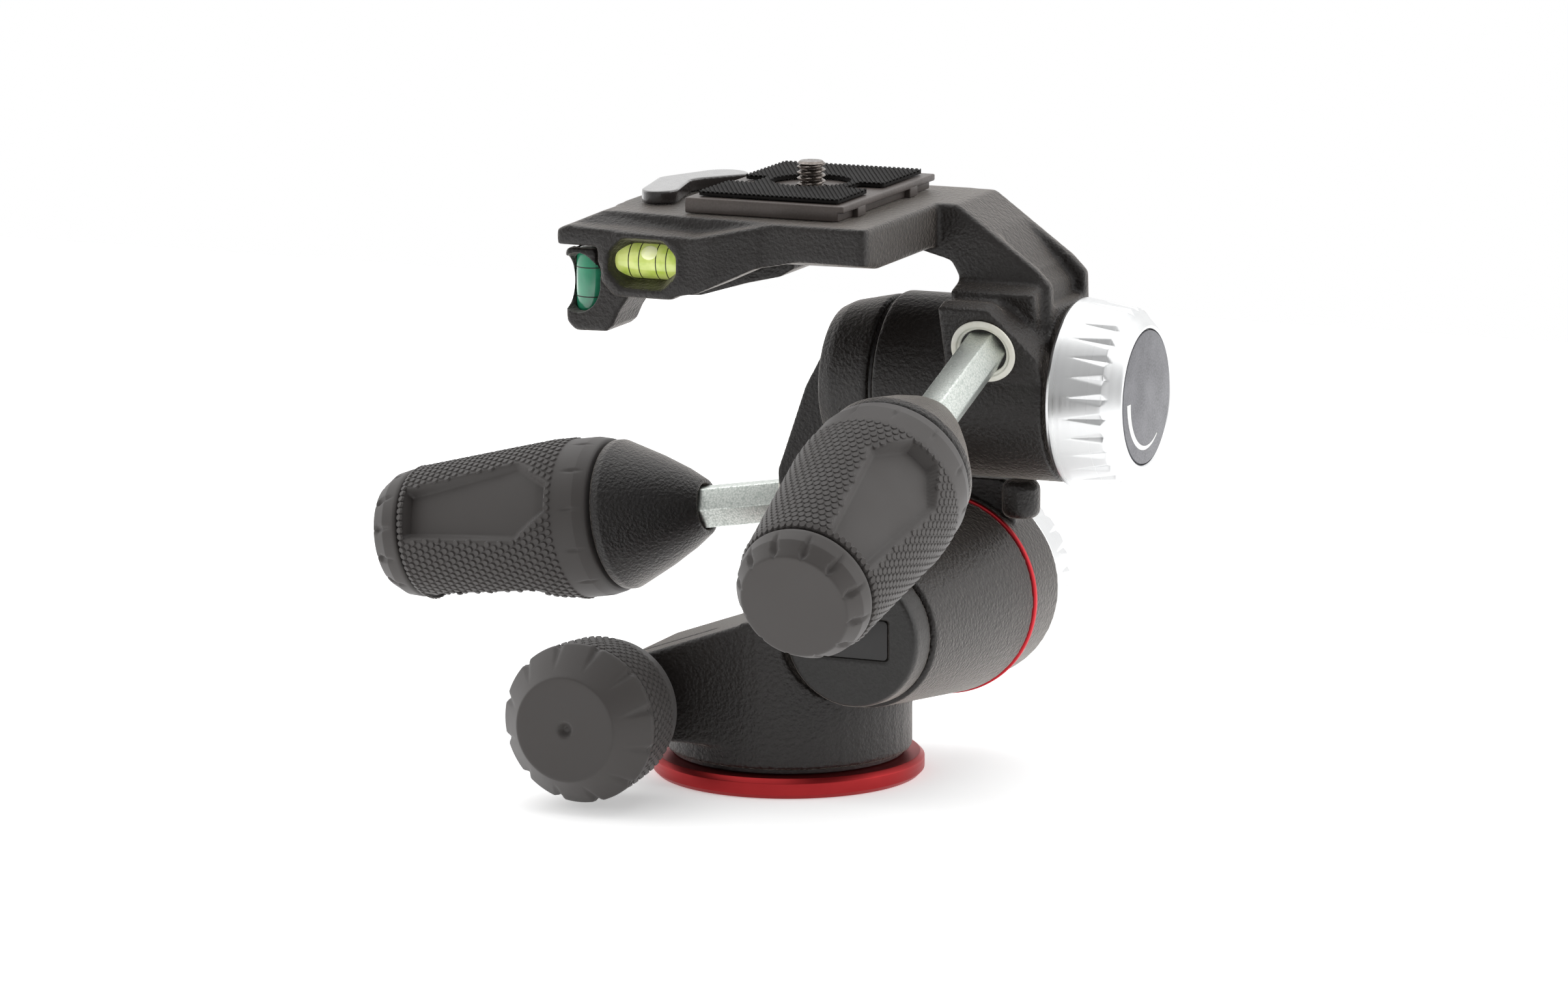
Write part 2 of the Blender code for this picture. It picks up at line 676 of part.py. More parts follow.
def make_pan_lock():
    """The clamp nut in the ear, and the knob with its screw."""
    start = EAR_SLOT_Y + EAR_SLOT_WIDTH / 2 + GAP
    nut = rod("pan_clamp_nut", nut_corner(), start, start + NUT_THICKNESS, 6)
    hole = rod("pan_clamp_nut_bore", PAN_SCREW_RADIUS + GAP, start - OVERRUN,
               start + NUT_THICKNESS + OVERRUN, SMALL_COUNT)
    place = along_y(EAR_X, 0, EAR_Z)
    carry(as_piece(nut), "pan_body", place, zinc_steel())
    as_tool(hole, "pan_body", place)
    cut(nut, hole)

    back = PAN_KNOB_FACE + PAN_KNOB_LENGTH
    place = against_y(EAR_X, back, EAR_Z)
    hub_end = back - EAR_FRONT + GAP
    cavity = PAN_KNOB_LENGTH - PAN_SKIN
    inner = PAN_KNOB_FACE_RADIUS + GAP
    grip = turned("pan_knob_grip", [
        (0, PAN_KNOB_LENGTH - PAN_DIMPLE_RADIUS), (PAN_DIMPLE_RADIUS, PAN_KNOB_LENGTH),
        (PAN_KNOB_FACE_RADIUS, PAN_KNOB_LENGTH),
        (PAN_KNOB_RADIUS - FILLET, PAN_KNOB_LENGTH - PAN_KNOB_BEVEL),
        (PAN_KNOB_RADIUS, PAN_KNOB_LENGTH - PAN_KNOB_BEVEL - PAN_SKIN / 2),
        (PAN_KNOB_RADIUS, PAN_KNOB_LENGTH / 2),
        (PAN_KNOB_RADIUS - FILLET, PAN_SKIN),
        (PAN_KNOB_RADIUS - PAN_SKIN / 2, 0), (inner, 0), (inner, cavity),
        (0, cavity)], FINE_COUNT)
    carry(as_piece(grip), "pan_knob", place, rubber())
    core = turned("pan_knob_core", [
        (0, cavity - GAP), (PAN_KNOB_FACE_RADIUS, cavity - GAP),
        (PAN_KNOB_FACE_RADIUS, GAP), (PAN_HUB_RADIUS, GAP), (PAN_HUB_RADIUS, hub_end),
        (PAN_SCREW_RADIUS + GAP, hub_end), (PAN_SCREW_RADIUS + GAP, cavity / 2),
        (0, cavity / 2)], ROUND_COUNT)
    carry(as_piece(core), "pan_knob", place, black_plastic())
    screw = rod("pan_lock_screw", PAN_SCREW_RADIUS,
                back - start - NUT_THICKNESS - OVERRUN, cavity / 2 - GAP, SMALL_COUNT)
    carry(as_piece(screw), "pan_knob", place, zinc_steel())


def make_lower_barrel():
    """The end cap, blank label, index ring and the fixed lateral spindle."""
    place = along_y(LOWER_X, 0, LOWER_Z)
    flange = BARREL_FRONT - GAP
    cap = turned("lateral_end_cap", [
        (0, flange + CAP_PLUG_LENGTH), (CAP_PLUG_RADIUS, flange + CAP_PLUG_LENGTH),
        (CAP_PLUG_RADIUS, flange), (CAP_RADIUS, flange),
        (CAP_RADIUS - CAP_BEVEL / 2, CAP_FRONT + CAP_BEVEL),
        (CAP_RADIUS - CAP_BEVEL, CAP_FRONT), (0, CAP_FRONT)], FINE_COUNT)
    carry(as_piece(cap), "pan_body", place, black_plastic())
    half = Vector((LABEL_WIDTH / 2, 0, LABEL_HEIGHT / 2))
    middle = Vector((LOWER_X, 0, LOWER_Z))
    seat = box("label_seat", middle - half - Vector((GAP, 0, GAP)) + Vector(
        (0, CAP_FRONT - OVERRUN, 0)), middle + half + Vector((GAP, 0, GAP)) + Vector(
        (0, CAP_FRONT + LABEL_THICKNESS, 0)))
    as_tool(seat, "pan_body", LEVEL)
    cut(cap, seat)
    label = box("blank_label_plate", middle - half + Vector((0, CAP_FRONT + GAP / 2, 0)),
                middle + half + Vector((0, CAP_FRONT + LABEL_THICKNESS - GAP, 0)))
    carry(as_piece(label), "pan_body", LEVEL, black_plastic())

    index = ring("red_index_ring", SHAFT_RADIUS + GAP, INDEX_RADIUS, BARREL_BACK + GAP,
                 BARREL_BACK + GAP + INDEX_THICKNESS, FINE_COUNT)
    carry(as_piece(index), "pan_body", place, red_anodised())
    drum = BARREL_BACK + 2 * GAP + INDEX_THICKNESS
    spindle = turned("lateral_spindle", [
        (0, stud_end(COLLAR_BACK)), (STUD_RADIUS, stud_end(COLLAR_BACK)),
        (STUD_RADIUS, COLLAR_BACK - GAP), (LOWER_DRUM_RADIUS, COLLAR_BACK - GAP),
        (LOWER_DRUM_RADIUS, drum), (SHAFT_RADIUS, drum),
        (SHAFT_RADIUS, flange + CAP_PLUG_LENGTH + GAP),
        (0, flange + CAP_PLUG_LENGTH + GAP)], ROUND_COUNT)
    carry(as_piece(spindle), "pan_body", place, satin_aluminium())
    make_friction_stack("lateral", COLLAR_BACK, place, "pan_body", COLLAR_RADIUS)
    make_friction_knob("lateral", along_y(LOWER_X, COLLAR_BACK + KNOB_STANDOFF, LOWER_Z))


def stud_end(seat):
    """Where a spindle's threaded stud ends inside its friction knob."""
    return seat + KNOB_STANDOFF + STUD_ENGAGEMENT - GAP


def make_friction_stack(side, seat, place, carrier, outer):
    """The black washer and the wave spring between a collar and its knob."""
    washer = ring(side + "_friction_washer", STUD_RADIUS + GAP, outer - SPRING_WIDTH,
                  seat + GAP, seat + GAP + WASHER_THICKNESS, ROUND_COUNT)
    carry(as_piece(washer), carrier, place, black_plastic())
    start = seat + 2 * GAP + WASHER_THICKNESS
    spring = ring(side + "_wave_spring", KNOB_CAVITY_RADIUS - GAP - SPRING_WIDTH,
                  KNOB_CAVITY_RADIUS - GAP, start,
                  seat + KNOB_STANDOFF + KNOB_CAVITY_DEPTH - GAP, ROUND_COUNT)
    carry(as_piece(spring), carrier, place, spring_steel())


def make_friction_knob(side, place):
    """A satin aluminium friction knob with its grey face disc."""
    floor = KNOB_LENGTH - KNOB_DISC_THICKNESS - GAP
    knob = turned(side + "_friction_knob", [
        (0, floor), (KNOB_DISC_RADIUS + GAP, floor), (KNOB_DISC_RADIUS + GAP, KNOB_LENGTH),
        (KNOB_FACE_RADIUS, KNOB_LENGTH), (KNOB_SHOULDER_RADIUS - FILLET,
                                          KNOB_LENGTH - KNOB_SHOULDER / 2),
        (KNOB_SHOULDER_RADIUS, KNOB_LENGTH - KNOB_SHOULDER), (KNOB_RADIUS, FILLET),
        (KNOB_RADIUS - FILLET / 2, 0), (KNOB_CAVITY_RADIUS, 0),
        (KNOB_CAVITY_RADIUS, KNOB_CAVITY_DEPTH), (STUD_RADIUS + GAP, KNOB_CAVITY_DEPTH),
        (STUD_RADIUS + GAP, STUD_ENGAGEMENT), (0, STUD_ENGAGEMENT)], FINE_COUNT)
    name = side + "_knob"
    carry(as_piece(knob), name, place, satin_aluminium())
    disc = rod(side + "_knob_disc", KNOB_DISC_RADIUS, floor + GAP, KNOB_LENGTH, FINE_COUNT)
    carry(as_piece(disc), name, place, grey_label())


def on_side(out, up):
    """A point in XZ, given along and across the side lever's frame."""
    spot = SIDE_FACE + SIDE_OUT * out + SIDE_UP * up
    return (spot.x, spot.z)


def bracket_outline():
    """The web of the tilt bracket from the front."""
    left = UPPER_HOUSING_LEFT
    lug_top = on_side(0, SIDE_LUG_HALF)
    lug_bottom = on_side(0, -SIDE_LUG_HALF)
    seat = UPPER_Z - UPPER_COLLAR_RADIUS - 2 * GAP
    return rounded([
        (UPPER_SEAM - FILLET, UPPER_Z + WEB_TOP),
        (left, UPPER_Z + WEB_TOP),
        (left - 3 * WEB_STEP, UPPER_Z - WEB_STEP),
        lug_top, lug_bottom,
        (left - SIDE_LUG_HALF, lug_bottom[1] - WEB_STEP),
        (LOWER_X - COLLAR_RADIUS + WEB_STEP, LOWER_Z - SIDE_LUG_HALF),
        (LOWER_X, LOWER_Z), (LOWER_X + PINCH_EAR_REACH, LOWER_Z + WEB_STEP),
        (LOWER_X + PINCH_EAR_REACH, seat),
        (UPPER_SEAM - FILLET, seat)], WEB_STEP)


def make_tilt_bracket():
    """The casting that carries the upper barrel and clamps the lateral spindle."""
    lower = along_y(LOWER_X, 0, LOWER_Z)
    upper = along_x(0, UPPER_Y, UPPER_Z)
    start = BARREL_BACK + 3 * GAP + INDEX_THICKNESS
    bracket = rod("tilt_bracket", COLLAR_RADIUS, start, COLLAR_BACK, FINE_COUNT)
    carry(as_piece(bracket), "tilt_body", lower, black_paint())
    web = slab("web", bracket_outline(), WEB_BACK - WEB_FRONT)
    as_tool(web, "tilt_body", facing_y(WEB_FRONT, WEB_BACK))
    housing = turned("upper_housing", [
        (0, UPPER_SEAM), (UPPER_HOUSING_RADIUS, UPPER_SEAM),
        (UPPER_HOUSING_END_RADIUS, UPPER_HOUSING_LEFT + UPPER_HOUSING_CHAMFER),
        (UPPER_HOUSING_END_RADIUS - UPPER_HOUSING_CHAMFER / 2, UPPER_HOUSING_LEFT),
        (0, UPPER_HOUSING_LEFT)], FINE_COUNT)
    as_tool(housing, "tilt_body", upper)
    join(bracket, web, housing)

    drum = rod("lower_drum_bore", LOWER_DRUM_RADIUS + GAP, start - OVERRUN,
               COLLAR_BACK + OVERRUN, ROUND_COUNT)
    knob = rod("lower_knob_room", COLLAR_RADIUS + GAP, COLLAR_BACK - WELD,
               WEB_BACK + OVERRUN, FINE_COUNT)
    for tool in (drum, knob):
        as_tool(tool, "tilt_body", lower)
    shaft = rod("upper_shaft_bore", SHAFT_RADIUS + GAP, UPPER_HOUSING_LEFT + UPPER_WALL,
                UPPER_SEAM + OVERRUN, ROUND_COUNT)
    as_tool(shaft, "tilt_body", upper)
    stud = rod("side_stud_bore", CLAMP_STUD_RADIUS + GAP, -side_stud_length() - OVERRUN,
               OVERRUN, SMALL_COUNT)
    seat = rod("side_bushing_seat", BUSHING_RADIUS + GAP, bushing_depth(), OVERRUN, ROUND_COUNT)
    slot_start = -side_slot_depth()
    nut = rod("side_nut_pocket", nut_corner() + GAP,
              slot_start - FRONT_SLOT / 2 - NUT_THICKNESS - 2 * GAP, slot_start, 6)
    slot = box("side_slot", (-WEB_BACK, -COLLAR_RADIUS + CLAMP_STUD_RADIUS,
                             slot_start - FRONT_SLOT / 2),
               (WEB_BACK, UPPER_COLLAR_UNDERSIDE - SIDE_FACE_Z, slot_start))
    for tool in (stud, seat, nut, slot):
        as_tool(tool, "tilt_body", SIDE_FRAME)
    cut(bracket, drum, knob, shaft, stud, seat, slot, nut)
    weld(bracket)


def bushing_depth():
    """How deep a lever's bushing sits in its lug, along the lever's frame."""
    return BUSHING_PROUD - BUSHING_LENGTH - GAP


def side_slot_depth():
    """From the side lug's face to the clamp slot over the lower spindle."""
    return (SIDE_SLOT_X - SIDE_FACE_X) / math.cos(SIDE_SLOPE)


def side_stud_length():
    return side_slot_depth() + FRONT_SLOT / 2 + NUT_THICKNESS + 2 * GAP


def make_clamp_nut(name, carrier, frame, start):
    """A hexagon nut that the clamp stud screws into, behind the clamp slot."""
    nut = rod(name, nut_corner(), start - NUT_THICKNESS, start, 6)
    hole = rod(name + "_bore", CLAMP_STUD_RADIUS + GAP, start - NUT_THICKNESS - OVERRUN,
               start + OVERRUN, SMALL_COUNT)
    carry(as_piece(nut), carrier, frame, zinc_steel())
    as_tool(hole, carrier, frame)
    cut(nut, hole)


def make_bushing(name, carrier, frame):
    """The white nylon bushing that the hexagon rod turns in."""
    depth = BUSHING_PROUD - BUSHING_LENGTH
    bushing = ring(name, BUSHING_BORE_RADIUS, BUSHING_RADIUS, depth, BUSHING_PROUD, ROUND_COUNT)
    carry(as_piece(bushing), carrier, frame, white_nylon())


def make_upper_barrel():
    """The spindle pressed into the bracket, with its washers and spring."""
    upper = along_x(0, UPPER_Y, UPPER_Z)
    root = UPPER_HOUSING_LEFT + UPPER_WALL + GAP
    slip = ring("front_slip_washer", SHAFT_RADIUS + GAP, UPPER_HOUSING_RADIUS - FILLET,
                UPPER_SEAM + GAP, UPPER_SEAM + GAP + WASHER_THICKNESS, FINE_COUNT)
    carry(as_piece(slip), "tilt_body", upper, white_nylon())
    drum = UPPER_SEAM + 2 * GAP + WASHER_THICKNESS
    spindle = turned("front_tilt_spindle", [
        (0, stud_end(UPPER_COLLAR_RIGHT)), (STUD_RADIUS, stud_end(UPPER_COLLAR_RIGHT)),
        (STUD_RADIUS, UPPER_COLLAR_RIGHT - GAP),
        (UPPER_DRUM_RADIUS, UPPER_COLLAR_RIGHT - GAP), (UPPER_DRUM_RADIUS, drum),
        (SHAFT_RADIUS, drum), (SHAFT_RADIUS, root), (0, root)], ROUND_COUNT)
    carry(as_piece(spindle), "tilt_body", upper, satin_aluminium())
    make_friction_stack("front", UPPER_COLLAR_RIGHT, upper, "tilt_body",
                        UPPER_COLLAR_RADIUS)
    make_friction_knob("front", along_x(UPPER_COLLAR_RIGHT + KNOB_STANDOFF, UPPER_Y,
                                        UPPER_Z))


def make_lever_rod(name, carrier, frame, exposed, stud):
    """A hexagon rod that ends in the clamp stud."""
    start = BUSHING_PROUD - BUSHING_LENGTH + GAP
    corner = ROD_FLATS / 2 / math.cos(math.radians(30))
    bar = rod(name, corner, start, exposed + ROD_REACH, 6)
    thread = rod(name + "_stud", CLAMP_STUD_RADIUS, -stud, start + OVERRUN, SMALL_COUNT)
    carry(as_piece(bar), carrier, frame, zinc_steel())
    as_tool(thread, carrier, frame)
    join(bar, thread)
    end = exposed + ROD_REACH
    stop = turned(name + "_stop", [
        (0, end + GAP + 2 * ROD_STOP_THICKNESS),
        (ROD_STOP_SCREW_RADIUS, end + GAP + 2 * ROD_STOP_THICKNESS),
        (ROD_STOP_SCREW_RADIUS, end + GAP + ROD_STOP_THICKNESS),
        (GRIP_BORE_RADIUS - GAP, end + GAP + ROD_STOP_THICKNESS),
        (GRIP_BORE_RADIUS - GAP, end + GAP), (0, end + GAP)], SMALL_COUNT)
    carry(as_piece(stop), carrier, frame, black_plastic())


def make_grip(name, carrier, frame, exposed):
    """A sliding grip: plastic cone and core, rubber sleeve and end cap."""
    seam = exposed + GRIP_SEAM
    cone = exposed + GRIP_CONE_LENGTH
    core = turned(name + "_core", [
        (0, seam), (GRIP_CORE_RADIUS, seam),
        (GRIP_CORE_RADIUS, exposed + GRIP_BAND_START),
        (GRIP_CONE_RADIUS, exposed + GRIP_BAND_START), (GRIP_CONE_RADIUS, cone),
        (GRIP_NOSE_RADIUS + FILLET, exposed + FILLET), (GRIP_NOSE_RADIUS, exposed),
        (0, exposed)], ROUND_COUNT)
    carry(as_piece(core), carrier, frame, black_plastic())
    corner = (ROD_FLATS / 2 + GRIP_SLIDE_CLEARANCE) / math.cos(math.radians(30))
    bore = rod(name + "_bore", corner, exposed - OVERRUN, seam + OVERRUN, 6)
    tunnel = rod(name + "_tunnel", GRIP_BORE_RADIUS, exposed + GRIP_CONE_LENGTH - FILLET,
                 seam + OVERRUN, SMALL_COUNT)
    for tool in (bore, tunnel):
        as_tool(tool, carrier, frame)
    cut(core, bore, tunnel)
    inner = GRIP_CORE_RADIUS + GAP
    start = exposed + GRIP_BAND_START + GAP
    sleeve = turned(name + "_sleeve", [
        (inner, seam - GAP), (GRIP_SEAM_RADIUS, seam - GAP),
        ((GRIP_SEAM_RADIUS + GRIP_RADIUS) / 2, seam - GRIP_CONE_LENGTH),
        (GRIP_RADIUS, exposed + GRIP_BAND_END), (GRIP_RADIUS, start + GRIP_CAP_BEVEL),
        (GRIP_CONE_RADIUS + FILLET / 2, start), (inner, start)], ROUND_COUNT, ring=True)
    carry(as_piece(sleeve), carrier, frame, rubber())
    end = exposed + GRIP_LENGTH
    cap = turned(name + "_cap", [
        (0, end), (GRIP_END_RADIUS, end),
        (GRIP_SEAM_RADIUS - FILLET, end - GRIP_CAP_BEVEL),
        (GRIP_SEAM_RADIUS, seam + GAP), (0, seam + GAP)], ROUND_COUNT)
    carry(as_piece(cap), carrier, frame, rubber())


def arch_outline():
    """The arch from the front: it drops from the platform to the clamp collar."""
    top = PLATFORM_TOP
    right = ARCH_RIGHT
    left = PLATFORM_RIGHT - EAR_RADIUS
    inner = PLATFORM_RIGHT + FRONT_SLOT
    return rounded([
        (left, top), (PLATFORM_RIGHT + ARCH_SHOULDER, top),
        (right - ARCH_SHOULDER, top - 3 * ARCH_SHOULDER - FILLET),
        (right - FILLET, top - 4 * ARCH_SHOULDER), (right, UPPER_Z),
        (inner + ROD_FLATS / 2, UPPER_Z),
        (inner + FRONT_SLOT, UPPER_Z + UPPER_COLLAR_RADIUS + NUT_THICKNESS),
        (inner, top - PLATFORM_THICKNESS - FRONT_SLOT),
        (left, top - PLATFORM_THICKNESS)], 2 * FILLET)


def arch_pocket():
    """The recess in the arch's outer face, between its two rims."""
    top = PLATFORM_TOP
    far = ARCH_RIGHT + OVERRUN
    pocket = slab("arch_pocket", rounded([
        (PLATFORM_RIGHT + 3 * ARCH_SHOULDER, top), (PLATFORM_RIGHT + 3 * ARCH_SHOULDER,
                                                    top - ARCH_SHOULDER),
        (ARCH_RIGHT - 2 * ARCH_SHOULDER, top - 3 * ARCH_SHOULDER),
        (ARCH_RIGHT - ARCH_RIM, top - 4 * ARCH_SHOULDER),
        (ARCH_RIGHT - ARCH_RIM, UPPER_Z + UPPER_COLLAR_RADIUS + GAP),
        (far, UPPER_Z + UPPER_COLLAR_RADIUS + GAP), (far, top)], 2 * FILLET),
        ARCH_BACK - ARCH_FRONT - 2 * ARCH_RIM)
    return as_tool(pocket, "platform_body",
                   facing_y(ARCH_FRONT + ARCH_RIM, ARCH_BACK - ARCH_RIM))


def platform_outline():
    """The platform from above."""
    step = LEVEL_VIAL_X + LEVEL_VIAL_LENGTH / 2 + 2 * VIAL_WALL
    return rounded([
        (PLATFORM_RIGHT, PLATFORM_FRONT), (PLATFORM_RIGHT, PLATFORM_REAR),
        (LEVER_PIVOT_X, PLATFORM_REAR), (LEVER_PIVOT_X - ROD_FLATS, LEVER_PIVOT_Y),
        (PLATFORM_LEFT - FILLET, LEVER_HUB_RADIUS), (PLATFORM_LEFT, BLOCK_BACK + GAP),
        (step, BLOCK_BACK + GAP), (step + FRONT_SLOT, PLATFORM_FRONT)],
        2 * FILLET)


def bulge_outline():
    """The front left of the casting from the front, which holds the level vial."""
    top = PLATFORM_TOP
    right = LEVEL_VIAL_X + LEVEL_VIAL_LENGTH / 2 + 3 * VIAL_WALL
    low = LEVEL_VIAL_Z - VIAL_RADIUS - 2 * VIAL_WALL
    left = PLATFORM_LEFT
    split = LEVEL_VIAL_X - LEVEL_VIAL_LENGTH / 2 - VIAL_WALL
    return rounded([
        (left + 2 * FILLET, top), (right + 3 * VIAL_RADIUS, top),
        (right + 3 * VIAL_RADIUS, top - PLATFORM_THICKNESS), (right, low + FILLET),
        (right - VIAL_RADIUS, low), (split + WEB_STEP, low),
        (split - VIAL_WALL, LEVEL_VIAL_Z - FILLET), (split - VIAL_WALL,
                                                     top - VIAL_RADIUS - FILLET),
        (left - 2 * WEB_STEP, top - VIAL_RADIUS - FILLET),
        (left - 2 * WEB_STEP, top - VIAL_RADIUS + FILLET)], FILLET, 2)


def block_outline():
    """The level block from the front, under the split line of the casting."""
    top = PLATFORM_TOP - VIAL_RADIUS - FILLET - GAP
    split = LEVEL_VIAL_X - LEVEL_VIAL_LENGTH / 2 - VIAL_WALL - GAP
    low = LEVEL_VIAL_Z - VIAL_RADIUS - 2 * VIAL_WALL - GAP
    left = PLATFORM_LEFT
    foot = PLUMB_VIAL_Z - PLUMB_VIAL_LENGTH / 2 - 2 * VIAL_WALL
    return rounded([
        (left - WEB_STEP, top), (split - VIAL_WALL, top),
        (split - VIAL_WALL, LEVEL_VIAL_Z - FILLET),
        (split + WEB_STEP - GAP, low), (split + 4 * WEB_STEP, low),
        (split + 2 * WEB_STEP, low - FILLET), (split, foot + FILLET),
        (split - FILLET, foot), (left - FILLET, foot),
        (left - 2 * FILLET, foot + 2 * FILLET)], FILLET, 2)


def collar_lug():
    """The lug that the front lever's bushing sits in, in the lever's frame."""
    lug = box("front_lug", (-FRONT_LUG_HALF, -FRONT_LUG_HALF - FRONT_SLOT,
                            -FRONT_LUG_DEPTH - 2 * ROD_FLATS),
              (FRONT_LUG_HALF, FRONT_LUG_HALF, 0))
    return as_tool(lug, "platform_body", FRONT_FRAME)


def make_platform():
    """The one casting of the clamp collar, the arch and the camera platform."""
    upper = along_x(0, UPPER_Y, UPPER_Z)
    start = UPPER_SEAM + 3 * GAP + WASHER_THICKNESS
    casting = rod("platform_arch", UPPER_COLLAR_RADIUS, start, UPPER_COLLAR_RIGHT, FINE_COUNT)
    carry(as_piece(casting), "platform_body", upper, black_paint())
    arch = slab("arch", arch_outline(), ARCH_BACK - ARCH_FRONT)
    as_tool(arch, "platform_body", facing_y(ARCH_FRONT, ARCH_BACK))
    deck = slab("deck", platform_outline(), PLATFORM_THICKNESS)
    as_tool(deck, "platform_body", flat(PLATFORM_TOP - PLATFORM_THICKNESS - WELD,
                                        PLATFORM_TOP - WELD))
    bulge_back = BLOCK_BACK + FRONT_SLOT
    bulge = slab("bulge", bulge_outline(), bulge_back - BULGE_FRONT)
    as_tool(bulge, "platform_body", facing_y(BULGE_FRONT, bulge_back))
    join(casting, collar_lug(), arch, deck, bulge)

    bore = rod("upper_drum_bore", UPPER_DRUM_RADIUS + GAP, start - OVERRUN,
               UPPER_COLLAR_RIGHT + OVERRUN, ROUND_COUNT)
    as_tool(bore, "platform_body", upper)
    stud = rod("front_stud_bore", CLAMP_STUD_RADIUS + GAP, -front_stud_length() - OVERRUN,
               OVERRUN, SMALL_COUNT)
    seat = rod("front_bushing_seat", BUSHING_RADIUS + GAP, bushing_depth(), OVERRUN, ROUND_COUNT)
    slot = box("front_slot", (-FRONT_LUG_HALF - GAP, -FRONT_LUG_HALF,
                              -FRONT_LUG_DEPTH - FRONT_SLOT),
               (2 * FRONT_LUG_HALF, 2 * FRONT_LUG_HALF, -FRONT_LUG_DEPTH))
    nut = rod("front_nut_pocket", nut_corner() + GAP,
              -FRONT_LUG_DEPTH - FRONT_SLOT - NUT_THICKNESS - 2 * GAP,
              -FRONT_LUG_DEPTH, 6)
    for tool in (stud, seat, slot, nut):
        as_tool(tool, "platform_body", FRONT_FRAME)
    cut(casting, bore, seat, stud, slot, nut, arch_pocket())
    cut_deck(casting)
    cut_vials(casting)


def front_stud_length():
    return FRONT_LUG_DEPTH + FRONT_SLOT + NUT_THICKNESS + 2 * GAP


def cut_deck(casting):
    """The pocket for the plate's foot, the lever's hub and the arch recess."""
    half = PLATE_FOOT_BOTTOM_HALF + GAP
    depth = PLATE_FOOT_DEPTH + GAP
    floor = PLATFORM_TOP - depth
    rear = PLATE_Y + PLATE_FOOT_LENGTH / 2 + GAP
    front = PLATE_Y - PLATE_FOOT_LENGTH / 2 - GAP
    right = PLATE_X + PLATE_FOOT_TOP_HALF + GAP
    pocket = slab("foot_pocket", [
        (PLATE_X - half - FRONT_SLOT, PLATFORM_TOP + OVERRUN), (right, PLATFORM_TOP + OVERRUN),
        (right, PLATFORM_TOP), (PLATE_X + half, floor),
        (PLATE_X - half - FRONT_SLOT, floor)], rear - front)
    as_tool(pocket, "platform_body", facing_y(front, rear))
    hub = rod("hub_pocket", LEVER_HUB_RADIUS + GAP,
              PLATFORM_TOP - LEVER_HUB_DEPTH - LEVER_SPRING_THICKNESS - 2 * GAP,
              PLATFORM_TOP + OVERRUN, ROUND_COUNT)
    pin = rod("pin_bore", PIVOT_RADIUS + GAP, PLATFORM_TOP - PLATFORM_THICKNESS - OVERRUN,
              PLATFORM_TOP, SMALL_COUNT)
    for tool in (hub, pin):
        as_tool(tool, "platform_body", upright(LEVER_PIVOT_X, LEVER_PIVOT_Y, 0))
    cut(casting, pocket, hub, pin)


def cut_vials(casting):
    """The window and bore of the horizontal vial."""
    half = LEVEL_VIAL_LENGTH / 2
    bore = rod("level_vial_bore", VIAL_RADIUS + GAP, -half - GAP, half + GAP, SMALL_COUNT)
    as_tool(bore, "platform_body", along_x(LEVEL_VIAL_X, LEVEL_VIAL_Y, LEVEL_VIAL_Z))
    window = slab("level_window", rounded([
        (LEVEL_VIAL_X - half + VIAL_WALL, LEVEL_VIAL_Z - VIAL_RADIUS + FILLET / 2),
        (LEVEL_VIAL_X + half - VIAL_WALL, LEVEL_VIAL_Z - VIAL_RADIUS + FILLET / 2),
        (LEVEL_VIAL_X + half - VIAL_WALL, LEVEL_VIAL_Z + VIAL_RADIUS - FILLET / 2),
        (LEVEL_VIAL_X - half + VIAL_WALL, LEVEL_VIAL_Z + VIAL_RADIUS - FILLET / 2)],
        WEB_STEP), LEVEL_VIAL_Y - BULGE_FRONT + OVERRUN)
    as_tool(window, "platform_body", facing_y(BULGE_FRONT - OVERRUN, LEVEL_VIAL_Y))
    cut(casting, bore, window)


def make_levels():
    """The level block and the two vials."""
    block = slab("level_block", block_outline(), BLOCK_BACK - BLOCK_FRONT)
    carry(as_piece(block), "platform_body", facing_y(BLOCK_FRONT, BLOCK_BACK),
          black_plastic())
    half = PLUMB_VIAL_LENGTH / 2
    plumb = upright(PLUMB_VIAL_X, PLUMB_VIAL_Y, PLUMB_VIAL_Z)
    bore = rod("plumb_vial_bore", PLUMB_VIAL_RADIUS + GAP, -half - GAP, half + GAP, SMALL_COUNT)
    as_tool(bore, "platform_body", plumb)
    window = box("plumb_window",
                 (PLUMB_VIAL_X - 2 * PLUMB_VIAL_RADIUS, BLOCK_FRONT - OVERRUN,
                  PLUMB_VIAL_Z - half + 2 * VIAL_WALL),
                 (PLUMB_VIAL_X + PLUMB_VIAL_RADIUS - FILLET, PLUMB_VIAL_Y,
                  PLUMB_VIAL_Z + half - 2 * VIAL_WALL))
    as_tool(window, "platform_body", LEVEL)
    cut(block, bore, window)
    level = rod("level_vial", VIAL_RADIUS, -LEVEL_VIAL_LENGTH / 2, LEVEL_VIAL_LENGTH / 2,
                SMALL_COUNT)
    carry(as_piece(level), "platform_body",
          along_x(LEVEL_VIAL_X, LEVEL_VIAL_Y, LEVEL_VIAL_Z), level_liquid())
    vial = rod("plumb_vial", PLUMB_VIAL_RADIUS, -half, half, SMALL_COUNT)
    carry(as_piece(vial), "platform_body", plumb, level_liquid())


